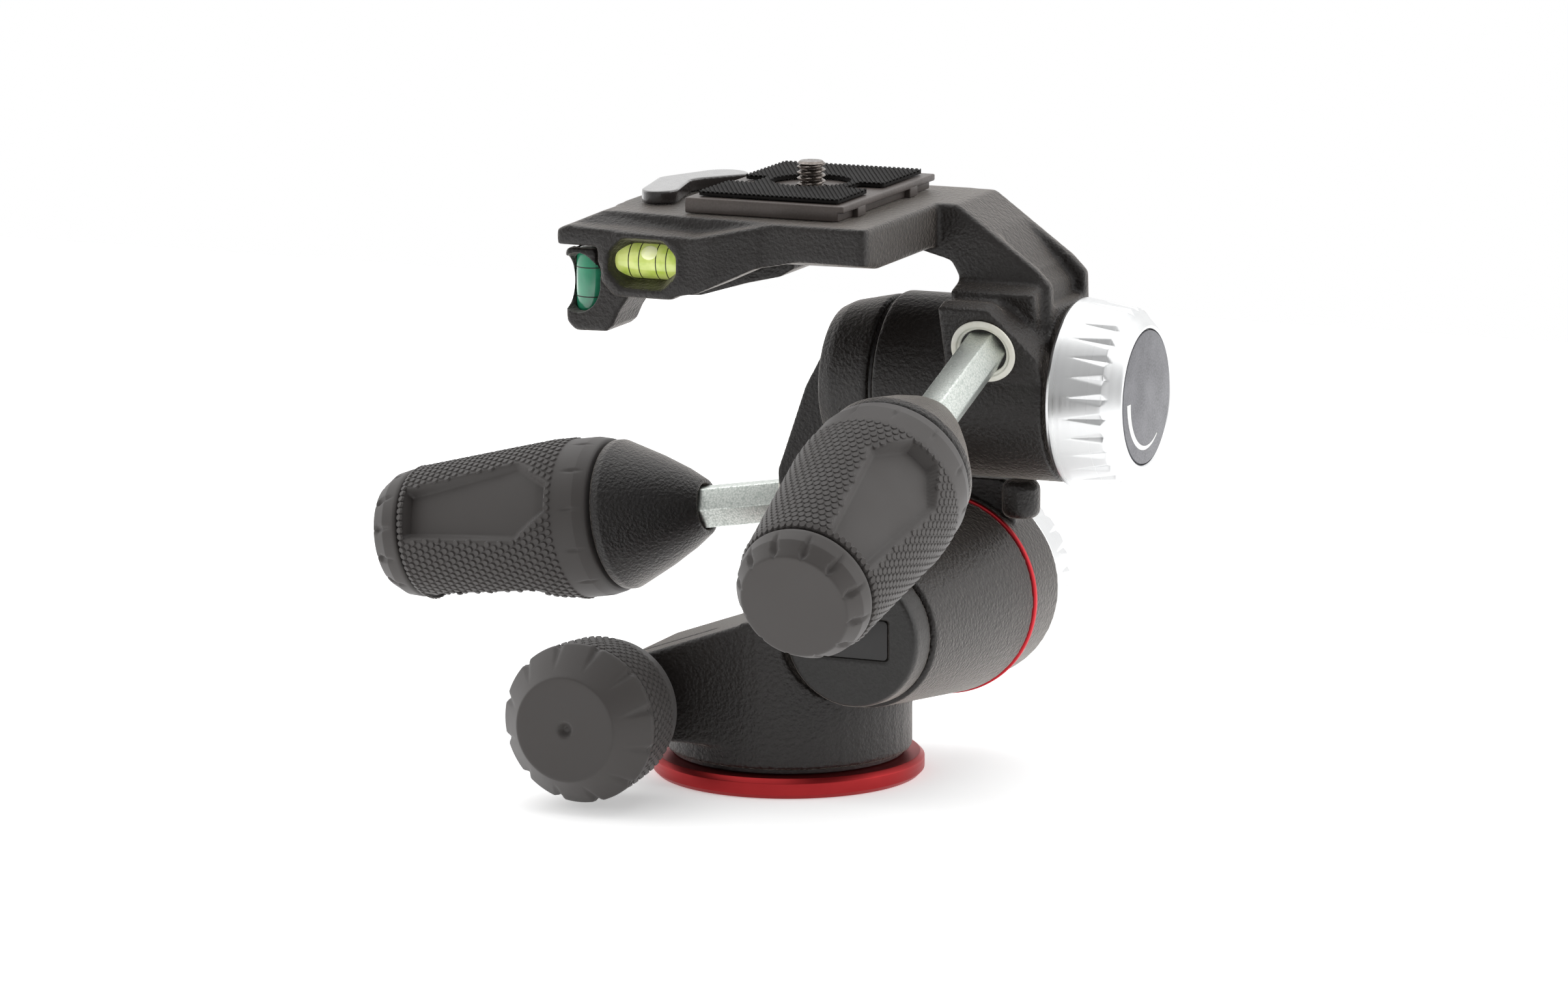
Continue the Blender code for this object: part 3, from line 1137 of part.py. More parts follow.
def make_plate():
    """The camera plate, its rubber pad and the camera screw."""
    place = upright(PLATE_X, PLATE_Y, 0)
    bottom = PLATE_TOP - PLATE_FLANGE
    wide = PLATE_WIDTH / 2
    long = PLATE_LENGTH / 2
    flange = slab("camera_plate", rounded([(-wide, -long), (wide, -long), (wide, long),
                                           (-wide, long)], FILLET), PLATE_FLANGE)
    carry(as_piece(flange), "plate", place @ flat(bottom, PLATE_TOP), brown_plate())
    foot = slab("plate_foot", [
        (-PLATE_FOOT_TOP_HALF, bottom + WELD + GAP), (-PLATE_FOOT_TOP_HALF, PLATFORM_TOP),
        (-PLATE_FOOT_BOTTOM_HALF, PLATFORM_TOP - PLATE_FOOT_DEPTH),
        (PLATE_FOOT_BOTTOM_HALF, PLATFORM_TOP - PLATE_FOOT_DEPTH),
        (PLATE_FOOT_TOP_HALF, PLATFORM_TOP), (PLATE_FOOT_TOP_HALF, bottom + WELD + GAP)],
        PLATE_FOOT_LENGTH)
    as_tool(foot, "plate", place @ facing_y(-PLATE_FOOT_LENGTH / 2, PLATE_FOOT_LENGTH / 2))
    join(flange, foot)
    hole = rod("camera_screw_bore", CAMERA_SCREW_RADIUS + GAP, 0, PLATE_TOP + OVERRUN,
               SMALL_COUNT)
    head = rod("screw_head_seat", SCREW_HEAD_RADIUS + GAP, 0,
               PLATFORM_TOP - PLATE_FOOT_DEPTH + SCREW_HEAD_THICKNESS + 2 * GAP, ROUND_COUNT)
    for tool in (hole, head):
        as_tool(tool, "plate", place)
    cut(flange, hole, head)

    margin = PAD_MARGIN
    pad = slab("rubber_pad", rounded([
        (margin - wide, margin - long), (wide - margin, margin - long),
        (wide - margin, long - margin), (margin - wide, long - margin)], FILLET),
        PAD_THICKNESS)
    low = PLATE_TOP + GAP
    carry(as_piece(pad), "plate", place @ flat(low, low + PAD_THICKNESS), rubber())
    opening = rod("pad_opening", PAD_HOLE_RADIUS, 0, low + PAD_THICKNESS + OVERRUN, ROUND_COUNT)
    as_tool(opening, "plate", place)
    notches = box("pad_notches", (-PAD_HOLE_RADIUS / 2, -long, 0),
                  (PAD_HOLE_RADIUS / 2, margin + FRONT_SLOT - long, low + OVERRUN))
    other = box("pad_notch", (-PAD_HOLE_RADIUS / 2, long - margin - FRONT_SLOT, 0),
                (PAD_HOLE_RADIUS / 2, long, low + OVERRUN))
    for tool in (notches, other):
        as_tool(tool, "plate", place)
    cut(pad, opening, notches, other)

    base = PLATFORM_TOP - PLATE_FOOT_DEPTH + GAP
    screw = rod("camera_screw", CAMERA_SCREW_RADIUS, base, PLATE_TOP + CAMERA_SCREW_PROUD,
                ROUND_COUNT)
    carry(as_piece(screw), "plate_screw", place, zinc_steel())
    disc = rod("camera_screw_head", SCREW_HEAD_RADIUS, base, base + SCREW_HEAD_THICKNESS,
               ROUND_COUNT)
    as_tool(disc, "plate_screw", place)
    join(screw, disc)


def lever_outline():
    """The release lever from above, from its hub out to its finger end."""
    hub = (LEVER_PIVOT_X, LEVER_PIVOT_Y)
    tip = (LEVER_REACH_X, LEVER_REACH_Y)
    lean = LEVER_THICKNESS * (PLATE_FOOT_BOTTOM_HALF - PLATE_FOOT_TOP_HALF
                              ) / PLATE_FOOT_DEPTH
    reach = PLATE_X - PLATE_WIDTH / 2 - 2 * GAP - lean - hub[0]
    round_end = arc(hub, reach, 0, LEVER_HEAD_DEGREES, 8)
    return rounded(round_end + [
        (hub[0] - 2 * LEVER_HUB_RADIUS, hub[1] - 2 * LEVER_HUB_RADIUS),
        (tip[0] - WEB_STEP, tip[1] + WEB_STEP), (tip[0], tip[1] - FILLET),
        (tip[0] + LEVER_HUB_RADIUS, tip[1] + WEB_STEP),
        (hub[0] - WEB_STEP, hub[1] - 2 * LEVER_HUB_RADIUS)], 2 * WEB_STEP, 3)


def make_release_lever():
    """The lever with its cam hub, the pivot pin and the return spring."""
    low = PLATFORM_TOP + GAP
    lever = slab("release_lever", lever_outline(), LEVER_THICKNESS)
    carry(as_piece(lever), "lever", flat(low, low + LEVER_THICKNESS), black_plastic())
    hub_place = upright(LEVER_PIVOT_X, LEVER_PIVOT_Y, 0)
    bottom = PLATFORM_TOP - LEVER_HUB_DEPTH
    hub = rod("lever_hub", LEVER_HUB_RADIUS, bottom, low + FILLET, ROUND_COUNT)
    hole = rod("lever_pin_bore", PIVOT_RADIUS + GAP, 0,
               low + LEVER_THICKNESS - FILLET, SMALL_COUNT)
    for tool in (hub, hole):
        as_tool(tool, "lever", hub_place)
    join(lever, hub)
    cut(lever, hole)
    pin = rod("lever_pivot_pin", PIVOT_RADIUS, PLATFORM_TOP - PLATFORM_THICKNESS,
              low + LEVER_THICKNESS - FILLET - GAP, SMALL_COUNT)
    carry(as_piece(pin), "platform_body", hub_place, zinc_steel())
    spring = ring("lever_return_spring", PIVOT_RADIUS + GAP, LEVER_HUB_RADIUS - FILLET,
                  bottom - GAP - LEVER_SPRING_THICKNESS, bottom - GAP, SMALL_COUNT)
    carry(as_piece(spring), "platform_body", hub_place, spring_steel())


def make_cover():
    """The cover under the platform that closes the release mechanism."""
    top = PLATFORM_TOP - PLATFORM_THICKNESS - GAP
    left = PLATFORM_LEFT + ROD_FLATS / 2
    right = left + COVER_LENGTH
    cover = slab("mechanism_cover", rounded([
        (left, top), (left, top - COVER_DROP + FILLET), (left + 2 * FILLET, top - COVER_DROP),
        (left + COVER_LENGTH / 3, top - COVER_DROP + FILLET / 2),
        (right - COVER_LENGTH / 3, top - COVER_DROP * 2 / 3),
        (right - 4 * FILLET, top - COVER_DROP / 2), (right, top - COVER_DROP / 3),
        (right, top)], FILLET, 2), COVER_BACK - COVER_FRONT)
    carry(as_piece(cover), "platform_body", facing_y(COVER_FRONT, COVER_BACK),
          black_plastic())


def settle():
    """Moves the head so that the origin is under the middle of its whole box."""
    graph = bpy.context.evaluated_depsgraph_get()
    spots = []
    for piece in PARTS.objects:
        if piece.type == "MESH":
            shape = piece.evaluated_get(graph)
            spots += [shape.matrix_world @ point.co for point in shape.data.vertices]
    middle_x = (min(spot.x for spot in spots) + max(spot.x for spot in spots)) / 2
    middle_y = (min(spot.y for spot in spots) + max(spot.y for spot in spots)) / 2
    BODIES["base"][0].location = (-middle_x, -middle_y, 0)


make_base()
make_pan_housing()
make_pan_lock()
make_lower_barrel()
make_tilt_bracket()
make_upper_barrel()
make_bushing("side_clamp_bushing", "tilt_body", SIDE_FRAME)
make_clamp_nut("side_clamp_nut", "tilt_body", SIDE_FRAME,
               -side_slot_depth() - FRONT_SLOT / 2 - GAP)
make_lever_rod("side_lever_rod", "side_rod", SIDE_FRAME, SIDE_EXPOSED, side_stud_length())
make_grip("side_grip", "side_grip", SIDE_FRAME, SIDE_EXPOSED)
make_platform()
make_bushing("front_clamp_bushing", "platform_body", FRONT_FRAME)
make_clamp_nut("front_clamp_nut", "platform_body", FRONT_FRAME,
               -FRONT_LUG_DEPTH - FRONT_SLOT - GAP)
make_lever_rod("front_lever_rod", "front_rod", FRONT_FRAME, FRONT_EXPOSED,
               front_stud_length())
make_grip("front_grip", "front_grip", FRONT_FRAME, FRONT_EXPOSED)
make_levels()
make_plate()
make_release_lever()
make_cover()
settle()
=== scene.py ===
# %% [markdown]
# # Three way pan tilt head
#
# A head like this sits between a tripod and a camera. It turns on three axes, and each
# axis is clamped on its own. The solids, their joints and their sizes come from a packed
# frame, so this lesson only dresses them: it gives every casting, grip, knob and screw
# its real surface, and places everything on the same axes.
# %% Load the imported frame
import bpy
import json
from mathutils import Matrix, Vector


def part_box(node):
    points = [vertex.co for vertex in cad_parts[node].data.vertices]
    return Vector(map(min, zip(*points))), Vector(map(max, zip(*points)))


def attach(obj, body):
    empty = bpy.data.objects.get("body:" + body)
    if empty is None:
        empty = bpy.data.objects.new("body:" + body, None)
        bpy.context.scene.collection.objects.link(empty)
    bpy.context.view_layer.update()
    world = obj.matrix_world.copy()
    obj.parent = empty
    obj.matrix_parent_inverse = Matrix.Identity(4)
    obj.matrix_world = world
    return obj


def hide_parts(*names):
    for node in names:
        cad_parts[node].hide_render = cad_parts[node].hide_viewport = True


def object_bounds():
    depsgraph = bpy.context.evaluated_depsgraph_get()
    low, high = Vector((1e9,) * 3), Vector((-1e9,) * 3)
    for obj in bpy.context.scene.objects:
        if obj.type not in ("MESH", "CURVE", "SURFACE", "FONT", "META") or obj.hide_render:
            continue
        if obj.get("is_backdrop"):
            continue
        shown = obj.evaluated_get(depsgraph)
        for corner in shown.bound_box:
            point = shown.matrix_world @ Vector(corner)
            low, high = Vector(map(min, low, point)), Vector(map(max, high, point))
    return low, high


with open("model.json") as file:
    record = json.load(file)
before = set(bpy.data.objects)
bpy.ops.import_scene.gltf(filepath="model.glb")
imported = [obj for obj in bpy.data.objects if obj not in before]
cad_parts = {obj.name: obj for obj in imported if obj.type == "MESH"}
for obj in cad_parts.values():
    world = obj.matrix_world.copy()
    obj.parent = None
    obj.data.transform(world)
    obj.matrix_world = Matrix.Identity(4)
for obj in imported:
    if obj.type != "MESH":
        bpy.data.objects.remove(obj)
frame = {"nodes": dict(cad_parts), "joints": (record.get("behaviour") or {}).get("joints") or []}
CAD_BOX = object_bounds()

# %% [markdown]
# ## Units and axes
#
# All sizes below are millimetres times MM, because Blender counts in metres. A turned
# piece is drawn round local Z and then put on its axle. The joints already know where
# the axles are and which way they point, so the placements are read from them.
# %% Sizes, axles and placements
import json
import math

import bmesh
import bpy
from mathutils import Matrix, Vector

MM = 0.001
FULL_TURN = 2 * math.pi
STEPS = 96
JOINTS = {joint["name"]: joint for joint in frame["joints"]}


def axle(name):
    """Puts local Z along a joint's axis, with local Y as near upright as it can be."""
    out = Vector(JOINTS[name]["axis"]).normalized()
    up = Vector((0, 0, 1)) if abs(out.z) < 0.9 else Vector((0, 1, 0))
    side = up.cross(out).normalized()
    turn = Matrix((side, out.cross(side), out)).transposed().to_4x4()
    return Matrix.Translation(JOINTS[name]["pos_m"]) @ turn


PAN = Matrix.Translation(JOINTS["pan_turn"]["pos_m"])
LOWER = axle("lateral_tilt")
UPPER = axle("front_tilt")
SIDE = axle("side_lever_twist")
FRONT = axle("front_lever_twist")
PAN_KNOB = axle("pan_lock_turn")
KNOBS = {"lateral": axle("lateral_friction_turn"), "front": axle("front_friction_turn")}
print("front tilt axle at", [round(v / MM, 1) for v in UPPER.translation])

# %% [markdown]
# ## Helpers for nodes and finishes
#
# Materials and Geometry Nodes are both trees of nodes. One small function adds a node,
# sets its options, and takes each input either as a number or as a link from another
# node, so a tree reads like a list of steps. A finish always has a pattern, a colour
# that follows it, a relief and one shader, so each of those is a short function too.
# %% Add a node, convert a colour, turn millimetres into a pattern scale
def add(tree, kind, *feeds, sockets=None, **options):
    """Adds a node. Feeds fill its live inputs in order and sockets fill them by name."""
    node = tree.nodes.new(kind)
    for option, value in options.items():
        setattr(node, option, value)
    live = [socket for socket in node.inputs if socket.enabled]
    pairs = list(zip(live, feeds))
    for name, feed in (sockets or {}).items():
        pairs.append((next(s for s in live if s.name == name), feed))
    for socket, feed in pairs:
        if isinstance(feed, bpy.types.Node):
            feed = next(out for out in feed.outputs if out.enabled)
        if isinstance(feed, bpy.types.NodeSocket):
            tree.links.new(feed, socket)
        elif feed is not None:
            socket.default_value = feed
    return node


def hue(text):
    """An sRGB hex colour as the linear colour that a shader takes."""
    parts = [int(text[i:i + 2], 16) / 255 for i in (1, 3, 5)]
    line = [p / 12.92 if p <= 0.04045 else ((p + 0.055) / 1.055) ** 2.4 for p in parts]
    return (*line, 1.0)


def sums(tree, operation, *feeds, **options):
    """A math node, called by its operation."""
    return add(tree, "ShaderNodeMath", *feeds, operation=operation, **options)


def ranged(tree, value, *ends):
    """Carries a value from one range (0 to 1 if not given) over to another."""
    return add(tree, "ShaderNodeMapRange", value, *ends)


def spot_at(tree, x, y, z):
    """A vector from its three parts."""
    return add(tree, "ShaderNodeCombineXYZ", x, y, z)


def scaled(tree, way, size):
    """A vector made longer or shorter."""
    return add(tree, "ShaderNodeVectorMath", way, sockets={"Scale": size}, operation="SCALE")


def per(size):
    """The texture scale whose pattern repeats about once in this many millimetres."""
    return 1 / (size * MM)


def blank_finish(name):
    """An empty material, its node tree and the object coordinates."""
    made = bpy.data.materials.new(name)
    made.use_nodes = True
    made.node_tree.nodes.clear()
    place = add(made.node_tree, "ShaderNodeTexCoord").outputs["Object"]
    return made, made.node_tree, place


def grain(tree, place, size, detail=2.0):
    """Soft noise whose pattern repeats about once in this many millimetres."""
    return add(tree, "ShaderNodeTexNoise",
               sockets={"Vector": place, "Scale": per(size), "Detail": detail})


def blend(tree, pattern, low, high):
    """Runs from one sRGB colour to another as a pattern rises."""
    return add(tree, "ShaderNodeMix", pattern, hue(low), hue(high), data_type="RGBA")


def relief(tree, pattern, strength, depth):
    """A bump this many millimetres deep from a pattern."""
    return add(tree, "ShaderNodeBump", sockets={"Strength": strength, "Distance": depth * MM,
                                                "Height": pattern})


def finished(made, tone, dullness, bump, others):
    """Ends a finish with its one shader."""
    tree = made.node_tree
    shader = add(tree, "ShaderNodeBsdfPrincipled",
                 sockets={"Base Color": tone, "Roughness": dullness, "Normal": bump, **others})
    add(tree, "ShaderNodeOutputMaterial", shader)
    return made


# %% [markdown]
# ## Powder coat on the castings
#
# The housing, the tilt bracket and the platform are aluminium castings. Black powder is
# sprayed on and baked, and it shrinks into a fine leathery skin with wrinkles about half
# a millimetre wide. Two layers give the skin: cells for the wrinkles and a finer noise for
# the sparkle between them. The wrinkles are drawn coarser than they are, because finer
# ones would vanish at the size of the picture. Moulded nylon takes the same recipe with
# other depths, since the mould's sparked skin looks much like it.
# %% Leathery black powder coat
def powder_coat(name, dark, light, wrinkle, depth, rough):
    """Polyester powder over cast aluminium: dull, with a pebbled highlight."""
    made, tree, place = blank_finish(name)
    cells = add(tree, "ShaderNodeTexVoronoi", feature="SMOOTH_F1",
                sockets={"Vector": place, "Scale": per(wrinkle), "Smoothness": 0.6})
    fine = grain(tree, place, wrinkle * 0.45, 3.0)
    tone = blend(tree, grain(tree, place, 14.0), dark, light)
    dullness = ranged(tree, fine, 0.3, 0.7, rough - 0.07, rough + 0.09)
    bump = relief(tree, sums(tree, "ADD", cells, fine), 0.8, depth)
    return finished(made, tone, dullness, bump, {
        "IOR": 1.5, "Sheen Weight": 0.5, "Sheen Roughness": 0.35,
        "Sheen Tint": hue("#fff4ea")})


CAST_BLACK = powder_coat("leathery black powder coat", "#0f0b09", "#1a1411",
                         0.85, 0.19, 0.42)
PLASTIC_BLACK = powder_coat("grained black nylon", "#151312", "#1c1a18", 0.8, 0.06, 0.42)
CONE_BLACK = powder_coat("sparkling black moulded nylon", "#0e0b0a", "#171210",
                         0.75, 0.24, 0.36)
print("finishes so far:", len(bpy.data.materials))

# %% [markdown]
# ## Rubber on the grips and the pan knob
#
# The grips are moulded in a thermoplastic rubber. It is dark grey and almost matt, with
# an even bloom that hides reflections. A very fine grain keeps the smooth thumb pads
# from looking like polished plastic.
# %% Soft dark rubber
def moulded_rubber(name, dark, light, speck, rough, gloss=0.5, bloom_weight=0.12):
    """Thermoplastic rubber from a sparked mould: matt, a little lighter at grazing light."""
    made, tree, place = blank_finish(name)
    bloom = grain(tree, place, 9.0, 3.0)
    dullness = ranged(tree, bloom, 0.3, 0.7, rough - 0.04, rough + 0.06)
    bump = relief(tree, grain(tree, place, speck, 4.0), 0.35, 0.03)
    return finished(made, blend(tree, bloom, dark, light), dullness, bump, {
        "Specular IOR Level": gloss, "Sheen Weight": bloom_weight, "Sheen Roughness": 0.5})


GRIP_RUBBER = moulded_rubber("dark grey moulded rubber", "#383432", "#413d3b", 0.8, 0.56)
PAD_RUBBER = moulded_rubber("black camera pad rubber", "#12100f", "#191615", 0.4, 0.75,
                            gloss=0.2, bloom_weight=0.0)
print("finishes so far:", len(bpy.data.materials))

# %% [markdown]
# ## Metals
#
# Four metals show. The friction knobs are turned aluminium with a satin anodised skin,
# so faint lathe lines run round them. The base disc and the index ring are the same metal
# dyed red. The lever rods are zinc plated steel with a crystalline sparkle, and the
# screws and springs are darker steel. A metal's colour is its reflection, so each keeps
# the default IOR and gets its look from its tint, its dullness and its lines.
# %% Turned, dyed and plated metal
def turned_metal(name, tint, shade, rough, across, line=0.8, depth=0.003):
    """Lathe turned metal. The lines are rings, so they change along the axle only."""
    made, tree, place = blank_finish(name)
    stretch = tuple(axis * per(line) for axis in across)
    along = add(tree, "ShaderNodeMapping", sockets={"Vector": place, "Scale": stretch})
    lines = add(tree, "ShaderNodeTexNoise", sockets={"Vector": along, "Scale": 1.0,
                                                     "Detail": 2.0})
    tone = blend(tree, grain(tree, place, 6.0), tint, shade)
    dullness = ranged(tree, lines, 0.25, 0.75, rough - 0.05, rough + 0.08)
    return finished(made, tone, dullness, relief(tree, lines, 0.5, depth), {"Metallic": 1.0})


def plated_steel(name, tint, shade, size, rough, depth):
    """Zinc or phosphate on steel: small crystals that sparkle one by one."""
    made, tree, place = blank_finish(name)
    crystals = add(tree, "ShaderNodeTexVoronoi",
                   sockets={"Vector": place, "Scale": per(size)})
    tone = blend(tree, crystals, tint, shade)
    dullness = ranged(tree, crystals, 0.0, 0.8, rough - 0.06, rough + 0.12)
    return finished(made, tone, dullness, relief(tree, crystals, 0.5, depth),
                    {"Metallic": 1.0})


ALONG = {"lateral": (0, 1, 0), "front": (1, 0, 0)}
SATIN_ALUMINIUM = {
    side: turned_metal("satin turned aluminium, " + side, "#eeefef", "#e2e3e4", 0.30, way)
    for side, way in ALONG.items()}
RED_DISC = turned_metal("red anodised aluminium, disc", "#b23436", "#a12c2f", 0.40,
                        (0, 0, 1))
RED_RING = turned_metal("red anodised aluminium, ring", "#cf3a42", "#bd3038", 0.42,
                        ALONG["lateral"])
ROD_ZINC = plated_steel("zinc plated steel", "#eef1ec", "#b4bcb6", 0.45, 0.34, 0.035)
SCREW_STEEL = plated_steel("dark plated screw steel", "#8d8681", "#756e69", 0.5, 0.24, 0.01)
SPRING_STEEL = plated_steel("spring steel", "#a5a6a8", "#8d8f92", 0.5, 0.28, 0.01)
print("finishes so far:", len(bpy.data.materials))

# %% [markdown]
# ## Plastics, paint and print
#
# Small pieces are moulded nylon or painted. The white bushings are natural nylon, the
# camera plate has a brown grey satin paint, the release lever is painted smoother, and
# the grey discs in the knobs are printed foil with fine dots. The label is bare here, so
# it only has the sheen of its black foil.
# %% Paint, nylon and foil
def satin_cover(name, tint, shade, rough, size, depth, metallic=0.0, coat=0.0, glow=0.0):
    """A thin even cover: paint, natural nylon or foil, told apart by grain and gloss.

    glow stands for daylight that comes through a liquid from behind."""
    made, tree, place = blank_finish(name)
    speck = grain(tree, place, size, 3.0)
    both = sums(tree, "MULTIPLY", speck, grain(tree, place, 7.0))
    spread = ranged(tree, both, 0.12, 0.4, 0.0, 1.0)
    tone = blend(tree, spread, tint, shade)
    dullness = ranged(tree, speck, 0.3, 0.7, rough - 0.04, rough + 0.05)
    return finished(made, tone, dullness, relief(tree, speck, 0.4, depth), {
        "Metallic": metallic, "Coat Weight": coat, "Coat Roughness": 0.12,
        "Emission Color": tone, "Emission Strength": glow})


WHITE_NYLON = satin_cover("natural white nylon", "#f1f0e6", "#e6e4d6", 0.42, 1.2, 0.02)
PLATE_PAINT = satin_cover("brown grey satin paint", "#5a524e", "#4e4743", 0.42, 0.5, 0.02,
                          metallic=0.15)
LEVER_PAINT = satin_cover("smooth dark grey paint", "#3a3634", "#322e2d", 0.27, 2.0, 0.002,
                          coat=1.0)
DISC_FOIL = satin_cover("grey dotted foil", "#7c7c80", "#626266", 0.45, 0.45, 0.03,
                        metallic=0.3)
PRINT_WHITE = satin_cover("white print", "#f4f4f2", "#e9e9e6", 0.5, 0.6, 0.005)
LABEL_FOIL = satin_cover("bare black label foil", "#161414", "#1e1b1a", 0.33, 0.5, 0.01)
LINE_BLACK = satin_cover("black vial lines", "#12140f", "#1a1c16", 0.5, 0.5, 0.005)
LEVEL_LIQUID = satin_cover("yellow green level liquid", "#dfe98a", "#b9cf56", 0.18, 2.5,
                           0.002, coat=1.0, glow=0.28)
PLUMB_LIQUID = satin_cover("teal green level liquid", "#2f9a72", "#1f7f60", 0.18, 3.0,
                           0.002, coat=1.0)
# The bubble glows like the liquid: painted light, an emission that stands in for daylight
# through the vial.
BUBBLE_PALE = satin_cover("level bubble", "#f0f4c4", "#dfe79a", 0.1, 2.0, 0.002, coat=1.0,
                          glow=0.35)
print("finishes so far:", len(bpy.data.materials))

# %% [markdown]
# ## Ways to make a shape
#
# Most pieces come off a lathe, so a profile turned round an axle makes them. A casting
# is different: its corners melt into soft fillets. Here a casting starts as a copy of
# its solid, is rebuilt from half millimetre voxels and relaxed, which rounds every
# inside and outside corner the way a mould does.
# %% Turn a profile, soften a casting, finish a piece
def eased(points, radius, count=3, closed=False):
    """The outline with its corners rounded, as far as their sides allow."""
    made = []
    for i, here in enumerate(points):
        corner = Vector(here)
        before = Vector(points[i - 1]) - corner
        after = Vector(points[(i + 1) % len(points)]) - corner
        end = not closed and i in (0, len(points) - 1)
        if end or before.angle(after) > math.radians(172):
            made.append(tuple(corner))
            continue
        half = before.angle(after) / 2
        reach = min(radius / math.tan(half), 0.45 * min(before.length, after.length))
        size = reach * math.tan(half)
        middle = corner + (before.normalized() + after.normalized()).normalized() * (
            size / math.sin(half))
        first = corner + before.normalized() * reach - middle
        last = corner + after.normalized() * reach - middle
        turn = first.angle_signed(last)
        for k in range(count + 1):
            angle = math.atan2(first.y, first.x) - turn * k / count
            made.append((middle.x + size * math.cos(angle),
                         middle.y + size * math.sin(angle)))
    return made


def finer(points, step):
    """The outline with long stretches divided, for shapes that are carved later."""
    made = [points[0]]
    for here, there in zip(points, points[1:]):
        parts = max(1, math.ceil((Vector(there) - Vector(here)).length / step))
        for k in range(1, parts + 1):
            made.append(tuple(Vector(here).lerp(Vector(there), k / parts)))
    return made


def turned(profile, steps=STEPS, ring=False):
    """A closed turned mesh from a profile of (radius, height) points."""
    spots, rings = [], []
    for radius, height in profile:
        around = steps if radius > 0.001 * MM else 1
        rings.append(range(len(spots), len(spots) + around))
        for k in range(around):
            angle = FULL_TURN * k / steps
            spots.append((radius * math.cos(angle), radius * math.sin(angle), height))
    faces = []
    pairs = list(zip(rings, rings[1:])) + ([(rings[-1], rings[0])] if ring else [])
    for low, high in pairs:
        for k in range(steps):
            n = (k + 1) % steps
            corners = [low[k % len(low)], low[n % len(low)], high[n % len(high)],
                       high[k % len(high)]]
            faces.append(list(dict.fromkeys(corners)))
    mesh = bpy.data.meshes.new("turned")
    mesh.from_pydata(spots, [], faces)
    return outward(mesh)


def drop(radius, half, steps):
    """A round drop, as wide and as tall as asked."""
    return turned([(radius * math.sin(math.pi * k / 16), -half * math.cos(math.pi * k / 16))
                   for k in range(17)], steps)


def outward(mesh):
    """Merges doubles and points every face outwards."""
    grid = bmesh.new()
    grid.from_mesh(mesh)
    bmesh.ops.remove_doubles(grid, verts=grid.verts, dist=0.001 * MM)
    bmesh.ops.recalc_face_normals(grid, faces=grid.faces)
    grid.to_mesh(mesh)
    grid.free()
    return mesh


def baked(thing):
    """The plain mesh that an object's modifiers make. The object goes."""
    graph = bpy.context.evaluated_depsgraph_get()
    mesh = bpy.data.meshes.new_from_object(thing.evaluated_get(graph))
    bpy.data.objects.remove(thing)
    return mesh


def on_bench(mesh):
    """A working object for a mesh, to carry modifiers for a moment."""
    thing = bpy.data.objects.new("bench", mesh)
    bpy.context.scene.collection.objects.link(thing)
    return thing


def hull(points, place=None):
    """The solid that a tight skin round some points (in mm) would enclose."""
    grid = bmesh.new()
    for spot in points:
        grid.verts.new(Vector(spot) * MM)
    bmesh.ops.convex_hull(grid, input=grid.verts)
    loose = [corner for corner in grid.verts if not corner.link_faces]
    bmesh.ops.delete(grid, geom=loose, context="VERTS")
    bmesh.ops.recalc_face_normals(grid, faces=grid.faces)
    mesh = bpy.data.meshes.new("hull")
    grid.to_mesh(mesh)
    grid.free()
    mesh.transform(PAN if place is None else place)
    return mesh


def carved(mesh, added=(), removed=()):
    """A mesh with some solids joined to it and others cut away."""
    thing = on_bench(mesh)
    tools = []
    for way, solids in (("UNION", added), ("DIFFERENCE", removed)):
        for solid in solids:
            tools.append(on_bench(solid))
            step = thing.modifiers.new(way, "BOOLEAN")
            step.operation = way
            step.object = tools[-1]
    mesh = baked(thing)
    for tool in tools:
        bpy.data.objects.remove(tool)
    return mesh


def copied(node):
    """A solid's own mesh, welded, to work on."""
    return outward(frame["nodes"][node].data.copy())


def softened(mesh, voxel, rounds):
    """A casting rebuilt in small voxels and relaxed into soft fillets."""
    thing = on_bench(mesh)
    remesh = thing.modifiers.new("voxels", "REMESH")
    remesh.mode = "VOXEL"
    remesh.voxel_size = voxel * MM
    relax = thing.modifiers.new("fillets", "SMOOTH")
    relax.factor = 0.5
    relax.iterations = rounds
    return baked(thing)


def slab(outline, low, high, edge=0.0):
    """An outline in XY, extruded between two heights, with its edges broken."""
    grid = bmesh.new()
    base = grid.faces.new([grid.verts.new((x, y, low)) for x, y in outline])
    top = bmesh.ops.extrude_face_region(grid, geom=[base])
    raised = [item for item in top["geom"] if isinstance(item, bmesh.types.BMVert)]
    bmesh.ops.translate(grid, verts=raised, vec=(0, 0, high - low))
    bmesh.ops.recalc_face_normals(grid, faces=grid.faces)
    mesh = bpy.data.meshes.new("slab")
    grid.to_mesh(mesh)
    grid.free()
    if not edge:
        return mesh
    thing = on_bench(mesh)
    bevel = thing.modifiers.new("edges", "BEVEL")
    bevel.width = edge
    bevel.segments = 3
    bevel.angle_limit = math.radians(40)
    return baked(thing)


def joined(*meshes):
    """Several meshes as one."""
    grid = bmesh.new()
    for mesh in meshes:
        grid.from_mesh(mesh)
    whole = bpy.data.meshes.new("joined")
    grid.to_mesh(whole)
    grid.free()
    return whole


